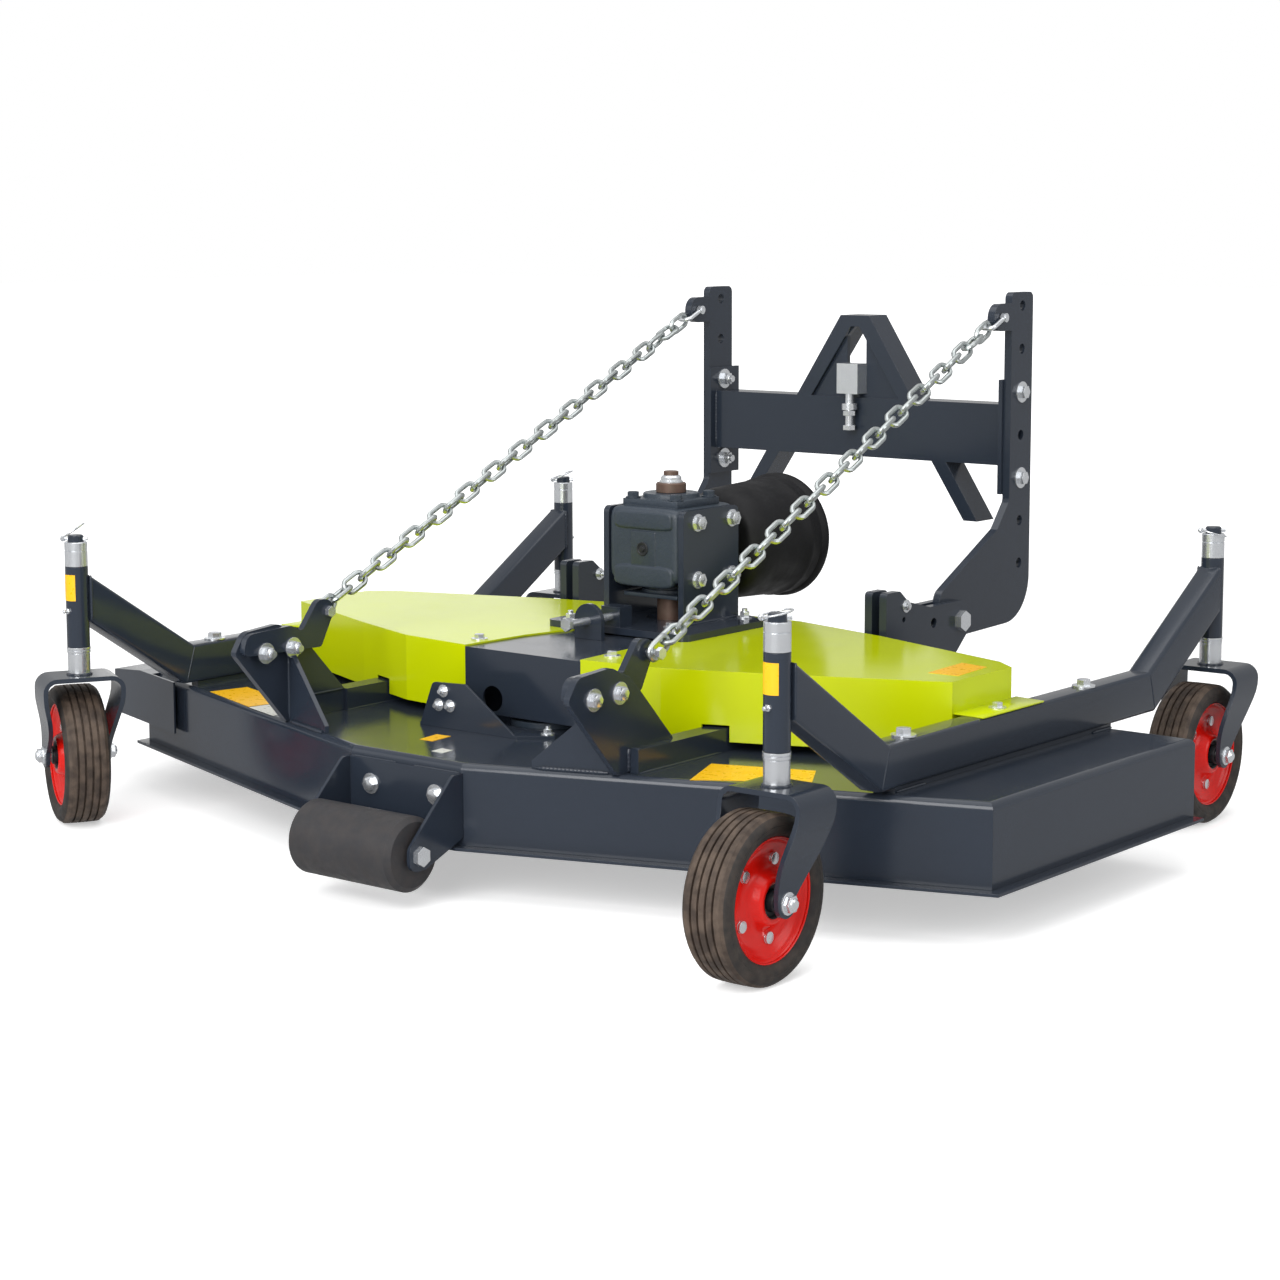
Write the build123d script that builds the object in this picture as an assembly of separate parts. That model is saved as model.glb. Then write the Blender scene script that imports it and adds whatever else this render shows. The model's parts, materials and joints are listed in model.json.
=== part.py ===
from build123d import *
import math
import os

# Front rotary mower: a three-blade deck on four castor wheels, carried by a hinged A-frame hitch.
# Millimetres, +Z up, +X to the right, the mower travels towards -Y and the carrying machine is at +Y.
# The origin is on the ground, in the middle of the four castor stems.

# Clearances: a turning pin in its bore, two faces that slide past each other, a piece set on its seat.
RUNNING_GAP = 0.1
SLIDING_GAP = 0.3
SEAT_GAP = 0.3

# Deck: one folded sheet with a blunt nose and swept front sides.
DECK_HALF_WIDTH = 928.0
DECK_NOSE_HALF = 120.0
DECK_NOSE_Y = -627.0
DECK_SHOULDER_Y = -356.0
DECK_REAR_Y = 276.0
DECK_TOP_Z = 220.0
DECK_SKIRT_Z = 89.0
DECK_SHEET = 5.0
DECK_FOLD_RADIUS = 12.0
SKID_THICKNESS = 5.0
SKID_OUTWARD = 19.0
SKID_INWARD = 22.0

# Side outlet in the left wall and the hood over it.
OUTLET_FRONT_Y = -300.0
OUTLET_REAR_Y = 190.0
OUTLET_BELOW_TOP = 24.0
HOOD_REACH = 127.0
HOOD_DROP = 14.0
HOOD_SHEET = 4.0
HOOD_APRON_Z = 128.0
HOOD_LAP = 142.0
HOOD_TOP_LAP = 40.0
HOOD_STAND_OFF = 10.0

# Square side beams with raised arms, and the upright tubes that hold the castor stems.
BEAM_SIZE = 60.0
BEAM_WALL = 4.0
BEAM_SETBACK = 163.0
BEAM_OUTER_X = DECK_HALF_WIDTH - BEAM_SETBACK
BEAM_CORNER = 6.0
FRONT_KNEE_Y = -390.0
REAR_KNEE_Y = 448.0
FRONT_ARM_RISE = 58.0
REAR_ARM_RISE = 64.0
STEM_X = BEAM_OUTER_X - 8.0
STEM_Y = 661.0
STEM_RADIUS = 14.0
STEM_TUBE_RADIUS = 20.0
STEM_TUBE_LENGTH = 136.0

# Castor: bent plate fork, trailing wheel, spacer sleeves on the stem.
TYRE_RADIUS = 124.0
TYRE_WIDTH = 80.0
TYRE_SHOULDER = 14.0
TYRE_SECTION = 30.0
TYRE_BEAD = 8.0
FORK_SHEET = 8.0
FORK_CROWN_GAP = 20.0
FORK_TOP_Z = 2 * TYRE_RADIUS + FORK_CROWN_GAP + FORK_SHEET
STEM_TUBE_LOW_Z = FORK_TOP_Z + 49.0
STEM_TUBE_HIGH_Z = STEM_TUBE_LOW_Z + STEM_TUBE_LENGTH
STEM_TOP_Z = STEM_TUBE_HIGH_Z + 56.0
SLEEVE_RADIUS = 19.5
SLEEVE_TOP_Z = STEM_TOP_Z - 7.0
FORK_OUTER_WIDTH = 116.0
FORK_BEND_RADIUS = 18.0
FORK_CROWN_FRONT = 31.0
FORK_CROWN_BACK = 74.0
FORK_LEG_NECK = 34.0
FORK_EAR_RADIUS = 20.0
CASTOR_TRAIL = 53.0
RIM_RADIUS = TYRE_RADIUS - TYRE_SECTION
RIM_WIDTH = 58.0
RIM_LIP = 5.0
RIM_DISC_HALF = 5.0
HUB_RADIUS = 24.0
HUB_HALF_LENGTH = 44.0
AXLE_RADIUS = 8.0
AXLE_HEAD_RADIUS = 13.0
AXLE_HEAD_LENGTH = 10.0

# Castor headings at rest, in degrees from +X: the way the wheel trails behind its stem.
CASTORS = (
    # name, stem x, stem y, heading
    ("fr", STEM_X, -STEM_Y, 270.0),
    ("fl", -STEM_X, -STEM_Y, 151.0),
    ("rr", STEM_X, STEM_Y, 272.0),
    ("rl", -STEM_X, STEM_Y, 272.0),
)

# Rails on the deck that carry the chain anchors in front and the pivot plates behind.
RAIL_X = 370.0
RAIL_WIDTH = 38.0
RAIL_HEIGHT = 38.0
RAIL_FRONT_Y = -515.0
RAIL_REAR_Y = 272.0

# Belt housing: centre box and the two sheet covers.
BOX_HALF_WIDTH = 128.0
BOX_FRONT_Y = -342.0
BOX_REAR_Y = 214.0
BOX_TOP_Z = 347.0
BOX_SHEET = 4.0
BOX_FRONT_EDGE_Z = 236.0
BOX_HOLE_X = -66.0
BOX_HOLE_Z = 263.0
BOX_HOLE_RADIUS = 22.0
COVER_SHEET = 3.0
COVER_SKIRT_Z = 235.0
COVER_OUTER_X = BEAM_OUTER_X - 40.0
COVER_NOTCH_Z = 262.0
COVER_TAB_REACH = 26.0
COVER_TAB_FRONT_Y = -82.0
COVER_TAB_REAR_Y = 118.0
# Right cover seen from above, from the inner front corner round by the outside to the inner rear corner.
COVER_OUTLINE = (
    (BOX_HALF_WIDTH + 0.0, BOX_FRONT_Y),
    (283.0, -325.0),
    (446.0, -265.0),
    (COVER_OUTER_X, -148.0),
    (COVER_OUTER_X, 30.0),
    (COVER_OUTER_X - 44.0, 66.0),
    (379.0, 171.0),
    (170.0, 225.0),
    (62.0, 225.0),
    (62.0, 60.0),
    (119.0, -194.0),
)

# Gearbox on its two side plates, with the drive shaft's guard behind it.
GEARBOX_Y = 65.0
BASE_HALF_WIDTH = 157.0
BASE_FRONT_Y = -96.0
BASE_REAR_Y = 150.0
BASE_THICKNESS = 12.0
BASE_HOLE_RADIUS = 45.0
CHEEK_OUTER_X = 90.0
CHEEK_THICKNESS = 12.0
CHEEK_FRONT_Y = -15.0
CHEEK_REAR_Y = 145.0
CHEEK_TOP_Z = 563.0
CHEEK_CORNER = 12.0
CASTING_LOW_Z = 431.0
CASTING_HIGH_Z = 565.0
CASTING_HALF_DEPTH = 85.0
CASTING_CORNER = 14.0
PANEL_DEPTH = 6.0
PANEL_HALF = 62.0
PANEL_HEIGHT = 40.0
PANEL_OFFSET = 41.0
PANEL_CORNER = 12.0
CASTING_RIBS = (-54.0, -40.0, -26.0, 26.0, 40.0, 54.0)
RIB_WIDTH = 5.0
PLUG_RADIUS = 11.0
FLANGE_HALF = 61.0
FLANGE_THICKNESS = 12.0
BOSS_RADIUS = 50.0
BOSS_HEIGHT = 9.0
COLLAR_RADIUS = 27.0
COLLAR_HEIGHT = 18.0
NUT_RADIUS = 19.0
NUT_HEIGHT = 14.0
SUMP_RADIUS = 56.0
SUMP_HEIGHT = 16.0
OUTPUT_RADIUS = 25.0
OUTPUT_LOW_Z = 290.0
INPUT_Z = 480.0
INPUT_HUB_RADIUS = 45.0
INPUT_HUB_LENGTH = 40.0
INPUT_SHAFT_RADIUS = 17.4
INPUT_SHAFT_LENGTH = 85.0
INPUT_JOURNAL_RADIUS = 15.0
INPUT_JOURNAL_LENGTH = 20.0
GUARD_LENGTH = 205.0
GUARD_NEAR_RADIUS = 102.0
GUARD_FAR_RADIUS = 112.0
GUARD_WALL = 5.0
GUARD_HOLE_RADIUS = 32.0
GUARD_ROUND = 34.0
GUARD_BAND = 4.0
GUARD_BAND_LENGTH = 16.0

# Belt tensioner in front of the gearbox.
TENSION_X = -12.0
TENSION_BOLT_Z = 379.0
TENSION_BOLT_RADIUS = 7.0
TENSION_BOLT_FRONT_Y = -214.0
TENSION_HEAD_RADIUS = 12.0
TENSION_HEAD_LENGTH = 9.0
EAR_Y = -154.0
EAR_THICKNESS = 9.0
EAR_RADIUS = 30.0
BLOCK_HALF_WIDTH = 21.0
BLOCK_REAR_Y = -58.0
BLOCK_DEPTH = 34.0
BLOCK_HEIGHT = 35.0

# Folded bracket in front of the centre box.
FRONT_BRACKET_Y = -420.0
FRONT_BRACKET_SHEET = 5.0

# Chain anchors and their bolts.
ANCHOR_OUTER_X = 370.0
ANCHOR_THICKNESS = 12.0
ANCHOR_PIN_Y = -450.0
ANCHOR_PIN_Z = 400.0
ANCHOR_PIN_RADIUS = 6.0
ANCHOR_HEAD_RADIUS = 10.0
ANCHOR_HEAD_LENGTH = 8.0
# Anchor plate seen from the side, from the front foot over the top to the rear foot.
ANCHOR_OUTLINE = (
    # y, z, corner radius
    (-543.0, DECK_TOP_Z, 0.0),
    (-660.0, 350.0, 10.0),
    (-636.0, 384.0, 24.0),
    (-560.0, 390.0, 30.0),
    (-513.0, 371.0, 12.0),
    (-484.0, 343.0, 6.0),
    (-404.0, 259.0, 6.0),
    (-404.0, DECK_TOP_Z, 0.0),
)
# Arm bolted on the inner face of the anchor plate, from its front end over the lug.
ARM_OUTLINE = (
    # y, z, corner radius
    (-652.0, 345.0, 12.0),
    (-642.0, 382.0, 22.0),
    (-540.0, 386.0, 20.0),
    (-514.0, 374.0, 8.0),
    (-474.0, 424.0, 20.0),
    (-427.0, 418.0, 20.0),
    (-469.0, 341.0, 8.0),
)
ARM_THICKNESS = 12.0
GUSSET_SETBACK = 10.0
GUSSET_REACH = 137.0
GUSSET_HEIGHT = 115.0
GUSSET_FLAT = 16.0
GUSSET_BLUNT = 12.0
GUSSET_THICKNESS = 8.0

# Front roller.
ROLLER_Y = -728.0
ROLLER_Z = 91.0
ROLLER_RADIUS = 60.0
ROLLER_HALF_LENGTH = 112.0
ROLLER_EDGE = 8.0
ROLLER_AXLE_RADIUS = 10.0
ROLLER_SIDE_GAP = 6.0
ROLLER_PLATE = 6.0
ROLLER_MOUNT_LOW_Z = 102.0
ROLLER_MOUNT_HIGH_Z = 205.0

# Blades and spindles below the deck.
BLADE_LENGTH = 620.0
BLADE_TIP_GAP = 18.0
BLADE_WIDTH = 62.0
BLADE_THICKNESS = 8.0
BLADE_Z = 104.0
BLADE_BOSS_RADIUS = 34.0
BLADE_BOSS_HEIGHT = 14.0
BLADE_NUT_RADIUS = 16.0
BLADE_NUT_HEIGHT = 10.0
SPINDLE_RADIUS = 18.0
SPINDLE_TOP_Z = 238.0
HOUSING_RADIUS = 42.0
HOUSING_LOW_Z = 138.0
HOUSING_HIGH_Z = 244.0
HOUSING_FLANGE_RADIUS = 68.0
HOUSING_FLANGE = 10.0
SPINDLE_X = DECK_HALF_WIDTH - BLADE_LENGTH / 2 - BLADE_TIP_GAP
SPINDLES = (
    # name, x, y, blade heading in degrees
    ("centre", 0.0, -270.0, 20.0),
    ("left", -SPINDLE_X, -60.0, 70.0),
    ("right", SPINDLE_X, -60.0, 110.0),
)

# Hitch: two curved uprights that swing on the pivot plates, and the A-frame between them.
UPRIGHT_OUTER_X = 357.0
UPRIGHT_THICKNESS = 15.0
UPRIGHT_FRONT_Y = 628.0
UPRIGHT_REAR_Y = 703.0
UPRIGHT_TOP_Z = 931.0
HOLE_Y = 665.5
HOLE_TOP_Z = UPRIGHT_TOP_Z - 25.0
HOLE_PITCH = 80.0
HOLE_COUNT = 7
HOLE_RADIUS = 9.5
PIVOT_Y = 437.0
PIVOT_Z = 345.0
PIVOT_RADIUS = 12.0
PIVOT_HEAD_RADIUS = 19.0
PIVOT_HEAD_LENGTH = 13.0
# Upright seen from the side, clockwise from the top front corner.
UPRIGHT_OUTLINE = (
    # y, z, corner radius
    (UPRIGHT_FRONT_Y, UPRIGHT_TOP_Z, 12.0),
    (UPRIGHT_REAR_Y, UPRIGHT_TOP_Z, 12.0),
    (UPRIGHT_REAR_Y, 319.0, 84.0),
    (411.0, 311.0, 26.0),
    (388.0, 393.0, 26.0),
    (588.0, 496.0, 14.0),
    (UPRIGHT_FRONT_Y, 545.0, 14.0),
)
CHAIN_EAR_Y = 592.0
CHAIN_EAR_Z = UPRIGHT_TOP_Z - 45.0
CHAIN_EAR_RADIUS = 25.0
CHAIN_EAR_HOLE = 8.0
PIVOT_PLATE_THICKNESS = 15.0
# Pivot plate seen from the side, from the front foot over the top to the rear.
PIVOT_PLATE_OUTLINE = (
    # y, z, corner radius
    (197.0, DECK_TOP_Z + RAIL_HEIGHT, 0.0),
    (197.0, 420.0, 8.0),
    (240.0, 420.0, 10.0),
    (268.0, 398.0, 10.0),
    (338.0, 381.0, 10.0),
    (466.0, 382.0, 30.0),
    (474.0, 330.0, 20.0),
    (426.0, 288.0, 20.0),
    (272.0, DECK_TOP_Z + RAIL_HEIGHT, 0.0),
)
PIVOT_PLATE_HOLES = (
    # y, z, radius
    (350.0, 351.0, 9.0),
    (253.0, 368.0, 5.0),
)
PIVOT_TIE_Y = 259.0
PIVOT_TIE_Z = 392.0
PIVOT_TIE_RADIUS = 7.0
FRAME_PLATE = 8.0
FRAME_PLATE_FRONT_Y = 622.0
FRAME_PLATE_REAR_Y = 716.0
FRAME_PLATE_LOW_Z = 557.0
FRAME_PLATE_HIGH_Z = 770.0
FRAME_FRONT_Y = 640.0
FRAME_DEPTH = 60.0
FRAME_WALL = 4.0
CROSS_LOW_Z = 609.0
CROSS_HIGH_Z = 723.0
APEX_Z = 881.0
APEX_HALF = 33.0
LEG_SLOPE = 0.65
LEG_FLAT = 30.0
LEG_FOOT_Z = 500.0
WEB_THICKNESS = 10.0
WEB_SETBACK = 8.0
LATCH_SLOT_HALF = 22.0
LATCH_SLOT_LOW_Z = 786.0
LATCH_SLOT_HIGH_Z = 841.0
LATCH_SLOT_TIP_Z = 864.0
LATCH_HALF_WIDTH = 24.0
LATCH_LOW_Z = 731.0
LATCH_HIGH_Z = 789.0
LATCH_FRONT_Y = 615.0
LATCH_BOLT_Y = 624.0
LATCH_BOLT_RADIUS = 8.0
LATCH_BOLT_LOW_Z = 661.0
LATCH_BOSS_RADIUS = 15.0
LATCH_NUT_RADIUS = 13.0
LATCH_BOSS_LOW_Z = 700.0
LATCH_BOSS_HEIGHT = 12.0

# Check chains between the anchors and the uprights, with a bow shackle at the upper end.
CHAIN_WIRE = 9.0
CHAIN_INNER_WIDTH = 15.0
CHAIN_LINKS = 28
# Turn of the first links about the chain, until they lie slanting; the last ones mirror it.
CHAIN_TWIST = (0.0, 15.0, 30.0)
CHAIN_SLANT = 45.0
CHAIN_LOW_X = ANCHOR_OUTER_X - ANCHOR_THICKNESS + 10.0
CHAIN_HIGH_X = UPRIGHT_OUTER_X - UPRIGHT_THICKNESS / 2
SHACKLE_WIRE_RADIUS = 4.2
SHACKLE_HALF_WIDTH = 13.0
SHACKLE_BEND = 8.5
SHACKLE_LENGTH = 44.0
SHACKLE_PIN_RADIUS = 5.5


def outline_face(points, radii=None):
    """Flat face on a corner list, with a fillet radius for each corner."""
    if radii is None:
        return make_face(Polyline(*points, close=True))
    return make_face(FilletPolyline(*points, radius=radii, close=True))


def plate_x(points, low, high, radii=None):
    """Plate between two x values from an outline in (y, z)."""
    face = Plane.YZ.offset(low) * outline_face(points, radii)
    return extrude(face, amount=high - low, dir=(1, 0, 0))


def plate_y(points, low, high, radii=None):
    """Plate between two y values from an outline in (x, z)."""
    face = Plane.XZ.offset(-low) * outline_face(points, radii)
    return extrude(face, amount=high - low, dir=(0, 1, 0))


def plate_z(points, low, high, radii=None):
    """Plate between two z values from an outline in (x, y)."""
    face = Plane.XY.offset(low) * outline_face(points, radii)
    return extrude(face, amount=high - low, dir=(0, 0, 1))


def block(low, high):
    """Box between two corners."""
    size = [b - a for a, b in zip(low, high)]
    centre = [(a + b) / 2 for a, b in zip(low, high)]
    return Pos(*centre) * Box(*size)


def rod(start, end, radius):
    """Round bar between two points."""
    run = Vector(*end) - Vector(*start)
    return extrude(Plane(origin=start, z_dir=run) * Circle(radius), amount=run.length)


def hexagon_bar(start, end, radius):
    """Six-sided bar between two points, for bolt heads and nuts."""
    run = Vector(*end) - Vector(*start)
    return extrude(Plane(origin=start, z_dir=run) * RegularPolygon(radius, 6), amount=run.length)


def split_rows(rows):
    """Corner points and radii from rows of (a, b, radius)."""
    return [row[:2] for row in rows], [row[2] for row in rows]


def mirrored(shape):
    """The same piece on the other side of the machine."""
    return mirror(shape, about=Plane.YZ)


def both_sides(shape):
    """A piece and its mirror image as two separate solids."""
    return Compound(children=[*shape.solids(), *mirrored(shape).solids()])


def deck_outline(grow=0.0):
    """Deck edge seen from above, moved outwards by grow."""
    half = [
        (DECK_NOSE_HALF, DECK_NOSE_Y),
        (DECK_HALF_WIDTH, DECK_SHOULDER_Y),
        (DECK_HALF_WIDTH, DECK_REAR_Y),
    ]
    points = half + [(-x, y) for x, y in reversed(half)]
    face = make_face(Polyline(*points, close=True))
    if grow:
        face = offset(face, amount=grow, kind=Kind.INTERSECTION)
    return face


def prism_z(face, low, high):
    """Upright prism on a face drawn at z = 0."""
    return extrude(Plane.XY.offset(low) * face, amount=high - low, dir=(0, 0, 1))


def make_deck_shell():
    """Folded deck sheet: top, skirt all round, outlet on the left, holes for the spindles."""
    shell = prism_z(deck_outline(), DECK_SKIRT_Z, DECK_TOP_Z)
    top_edges = shell.faces().sort_by(Axis.Z)[-1].edges()
    shell = fillet(top_edges, DECK_FOLD_RADIUS)
    shell -= prism_z(deck_outline(-DECK_SHEET), DECK_SKIRT_Z - 1, DECK_TOP_Z - DECK_SHEET)
    shell -= block(
        (-DECK_HALF_WIDTH - 1, OUTLET_FRONT_Y, DECK_SKIRT_Z - 1),
        (-DECK_HALF_WIDTH + DECK_SHEET + 1, OUTLET_REAR_Y, DECK_TOP_Z - OUTLET_BELOW_TOP),
    )
    for _, x, y, _ in SPINDLES:
        shell -= Pos(x, y, DECK_TOP_Z) * Cylinder(HOUSING_RADIUS + SEAT_GAP, 4 * DECK_SHEET)
    return shell


def make_skid_rails():
    """Flat strip under the skirt at the front and sides."""
    high = DECK_SKIRT_Z
    low = high - SKID_THICKNESS
    strip = prism_z(deck_outline(SKID_OUTWARD), low, high) - prism_z(deck_outline(-SKID_INWARD), low, high)
    reach = DECK_HALF_WIDTH + 2 * SKID_OUTWARD
    strip -= block((-reach, DECK_REAR_Y, low), (reach, DECK_REAR_Y + 2 * SKID_OUTWARD, high))
    inner = DECK_HALF_WIDTH - SKID_INWARD
    strip -= block((-inner, DECK_REAR_Y - SKID_INWARD - 1, low), (inner, DECK_REAR_Y, high))
    return strip


def hood_edge(x, stand_off):
    """y of the hood's front cheek at x: it runs along the deck's swept front side."""
    run_x = DECK_HALF_WIDTH - DECK_NOSE_HALF
    run_y = DECK_SHOULDER_Y - DECK_NOSE_Y
    stretch = math.hypot(run_x, run_y) / run_x
    return DECK_SHOULDER_Y + (-x - DECK_HALF_WIDTH) * run_y / run_x - stand_off * stretch


def make_side_hood():
    """Sloping hood over the side outlet, with a front cheek that laps the deck's skirt."""
    outer_x = -DECK_HALF_WIDTH - HOOD_REACH
    lap_x = -DECK_HALF_WIDTH + HOOD_TOP_LAP
    edge_x = -DECK_HALF_WIDTH - HOOD_STAND_OFF
    low_top = DECK_TOP_Z - HOOD_DROP
    section = [
        (lap_x, DECK_TOP_Z),
        (lap_x, DECK_TOP_Z + HOOD_SHEET),
        (edge_x, DECK_TOP_Z + HOOD_SHEET),
        (outer_x, low_top + HOOD_SHEET),
        (outer_x, HOOD_APRON_Z),
        (outer_x + HOOD_SHEET, HOOD_APRON_Z),
        (outer_x + HOOD_SHEET, low_top),
        (edge_x, DECK_TOP_Z),
    ]
    front = hood_edge(lap_x, 0)
    rear = DECK_REAR_Y - 2 * HOOD_SHEET
    hood = plate_y(section, front - 60, rear)
    cheek_right = -DECK_HALF_WIDTH + HOOD_LAP
    inner_off = HOOD_STAND_OFF
    outer_off = HOOD_STAND_OFF + HOOD_SHEET
    clip = [
        (outer_x - 1, hood_edge(outer_x - 1, outer_off)),
        (cheek_right, hood_edge(cheek_right, outer_off)),
        (cheek_right, front - 120),
        (outer_x - 1, front - 120),
    ]
    hood -= plate_z(clip, HOOD_APRON_Z - 1, DECK_TOP_Z + 2 * HOOD_SHEET)
    cheek = [
        (outer_x, hood_edge(outer_x, outer_off)),
        (cheek_right, hood_edge(cheek_right, outer_off)),
        (cheek_right, hood_edge(cheek_right, inner_off)),
        (outer_x, hood_edge(outer_x, inner_off)),
    ]
    wall = plate_z(cheek, HOOD_APRON_Z, DECK_TOP_Z + HOOD_SHEET)
    above = [
        (edge_x, DECK_TOP_Z + HOOD_SHEET),
        (outer_x - 1, low_top + HOOD_SHEET),
        (outer_x - 1, DECK_TOP_Z + 2 * HOOD_SHEET),
        (edge_x, DECK_TOP_Z + 2 * HOOD_SHEET),
    ]
    wall -= plate_y(above, front - 120, front + 120)
    rear_cheek = plate_y(
        [
            (edge_x, DECK_TOP_Z),
            (outer_x, low_top),
            (outer_x, HOOD_APRON_Z),
            (edge_x, HOOD_APRON_Z),
        ],
        rear - HOOD_SHEET,
        rear,
    )
    return hood + wall + rear_cheek


def beam_path(inset):
    """Side beam with its two arms seen from the side, in (y, z), drawn smaller by inset."""
    low = DECK_TOP_Z + inset
    depth = BEAM_SIZE - 2 * inset
    front = math.atan2(STEM_TUBE_LOW_Z + FRONT_ARM_RISE - DECK_TOP_Z, STEM_Y + FRONT_KNEE_Y)
    rear = math.atan2(STEM_TUBE_LOW_Z + REAR_ARM_RISE - DECK_TOP_Z, STEM_Y - REAR_KNEE_Y)
    front_low = FRONT_KNEE_Y + inset * math.tan(front / 2)
    front_high = front_low + depth * math.tan(front / 2)
    rear_low = REAR_KNEE_Y - inset * math.tan(rear / 2)
    rear_high = rear_low - depth * math.tan(rear / 2)
    front_end = -STEM_Y
    rear_end = STEM_Y
    return [
        (front_end, low + (front_low - front_end) * math.tan(front)),
        (front_low, low),
        (rear_low, low),
        (rear_end, low + (rear_end - rear_low) * math.tan(rear)),
        (rear_end, low + depth + (rear_end - rear_high) * math.tan(rear)),
        (rear_high, low + depth),
        (front_high, low + depth),
        (front_end, low + depth + (front_high - front_end) * math.tan(front)),
    ]


def make_side_beam():
    """Right side beam: square tube with mitred arms and a bored tube at each end."""
    inner_x = BEAM_OUTER_X - BEAM_SIZE
    beam = plate_x(beam_path(0), inner_x, BEAM_OUTER_X)
    beam -= plate_x(beam_path(BEAM_WALL), inner_x + BEAM_WALL, BEAM_OUTER_X - BEAM_WALL)
    beam -= block(
        (inner_x, -STEM_Y - 1, STEM_TUBE_HIGH_Z),
        (BEAM_OUTER_X, STEM_Y + 1, STEM_TUBE_HIGH_Z + BEAM_SIZE),
    )
    for y in (-STEM_Y, STEM_Y):
        beam += rod((STEM_X, y, STEM_TUBE_LOW_Z), (STEM_X, y, STEM_TUBE_HIGH_Z), STEM_TUBE_RADIUS)
        beam -= rod(
            (STEM_X, y, STEM_TUBE_LOW_Z - 1),
            (STEM_X, y, STEM_TUBE_HIGH_Z + 60),
            STEM_RADIUS + RUNNING_GAP,
        )
    return beam


def make_side_beams():
    """Both side beams."""
    return both_sides(make_side_beam())


def fork_crown():
    """Bent plate over the wheel, drawn with the wheel trailing towards -Y of the stem."""
    half = FORK_OUTER_WIDTH / 2
    axle_z = TYRE_RADIUS
    wrap = [(-half, 0), (-half, FORK_TOP_Z), (half, FORK_TOP_Z), (half, 0)]
    outer = plate_y(wrap, -200, 200, [0, FORK_BEND_RADIUS, FORK_BEND_RADIUS, 0])
    inset = half - FORK_SHEET
    inner_wrap = [(-inset, -1), (-inset, FORK_TOP_Z - FORK_SHEET), (inset, FORK_TOP_Z - FORK_SHEET), (inset, -1)]
    bend = FORK_BEND_RADIUS - FORK_SHEET
    outer -= plate_y(inner_wrap, -201, 201, [0, bend, bend, 0])
    side = [
        (FORK_CROWN_FRONT, FORK_TOP_Z + 1),
        (FORK_CROWN_FRONT, FORK_TOP_Z - FORK_BEND_RADIUS),
        (-CASTOR_TRAIL + FORK_EAR_RADIUS, axle_z + FORK_LEG_NECK),
        (-CASTOR_TRAIL + FORK_EAR_RADIUS, axle_z - FORK_EAR_RADIUS),
        (-CASTOR_TRAIL - FORK_EAR_RADIUS, axle_z - FORK_EAR_RADIUS),
        (-CASTOR_TRAIL - FORK_EAR_RADIUS, axle_z + FORK_LEG_NECK),
        (-FORK_CROWN_BACK, FORK_TOP_Z - FORK_BEND_RADIUS - FORK_LEG_NECK),
        (-FORK_CROWN_BACK, FORK_TOP_Z + 1),
    ]
    ear = FORK_EAR_RADIUS - 1
    return outer & plate_x(side, -half - 1, half + 1, [0, 8, 20, ear, ear, 20, 14, 0])


def make_fork(place):
    """Fork with its welded stem."""
    half = FORK_OUTER_WIDTH / 2
    fork = fork_crown()
    fork += rod((0, 0, FORK_TOP_Z - FORK_SHEET), (0, 0, STEM_TOP_Z), STEM_RADIUS)
    fork -= rod(
        (-half - 1, -CASTOR_TRAIL, TYRE_RADIUS),
        (half + 1, -CASTOR_TRAIL, TYRE_RADIUS),
        AXLE_RADIUS + RUNNING_GAP,
    )
    return place * fork


def make_fork_hardware(place):
    """Spacer sleeves on the stem and the axle bolt, three solids of the fork's body."""
    bore = STEM_RADIUS + RUNNING_GAP
    low = rod((0, 0, FORK_TOP_Z), (0, 0, STEM_TUBE_LOW_Z - SLIDING_GAP), SLEEVE_RADIUS)
    high = rod((0, 0, STEM_TUBE_HIGH_Z + SLIDING_GAP), (0, 0, SLEEVE_TOP_Z), SLEEVE_RADIUS)
    hole = rod((0, 0, FORK_TOP_Z - 1), (0, 0, STEM_TOP_Z + 1), bore)
    half = FORK_OUTER_WIDTH / 2
    axle = rod((-half, -CASTOR_TRAIL, TYRE_RADIUS), (half, -CASTOR_TRAIL, TYRE_RADIUS), AXLE_RADIUS)
    for side in (-1, 1):
        axle += hexagon_bar(
            (side * half, -CASTOR_TRAIL, TYRE_RADIUS),
            (side * (half + AXLE_HEAD_LENGTH), -CASTOR_TRAIL, TYRE_RADIUS),
            AXLE_HEAD_RADIUS,
        )
    return place * Compound(children=[*(low - hole).solids(), *(high - hole).solids(), *axle.solids()])


def turned_x(rows, centre_y, centre_z):
    """Body of revolution about an axis along X, from rows of (x, radius)."""
    face = make_face(Polyline(*[(x, r) for x, r in rows], close=True))
    solid = revolve(Plane.XZ * face, axis=Axis.X, revolution_arc=360)
    return Pos(0, centre_y, centre_z) * solid


def make_tyre(place):
    """Tyre with stepped shoulders, seated on the rim."""
    half = TYRE_WIDTH / 2
    seat = RIM_RADIUS - RIM_LIP
    edge = 0.3 * TYRE_SHOULDER
    crown = [
        (half - TYRE_SHOULDER, TYRE_RADIUS),
        (half - edge, TYRE_RADIUS - edge),
        (half, TYRE_RADIUS - TYRE_SHOULDER),
        (half, seat + TYRE_BEAD),
        (RIM_WIDTH / 2 - RIM_LIP, seat),
    ]
    rows = crown + [(-x, radius) for x, radius in reversed(crown)]
    return place * turned_x(rows, -CASTOR_TRAIL, TYRE_RADIUS)


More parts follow.
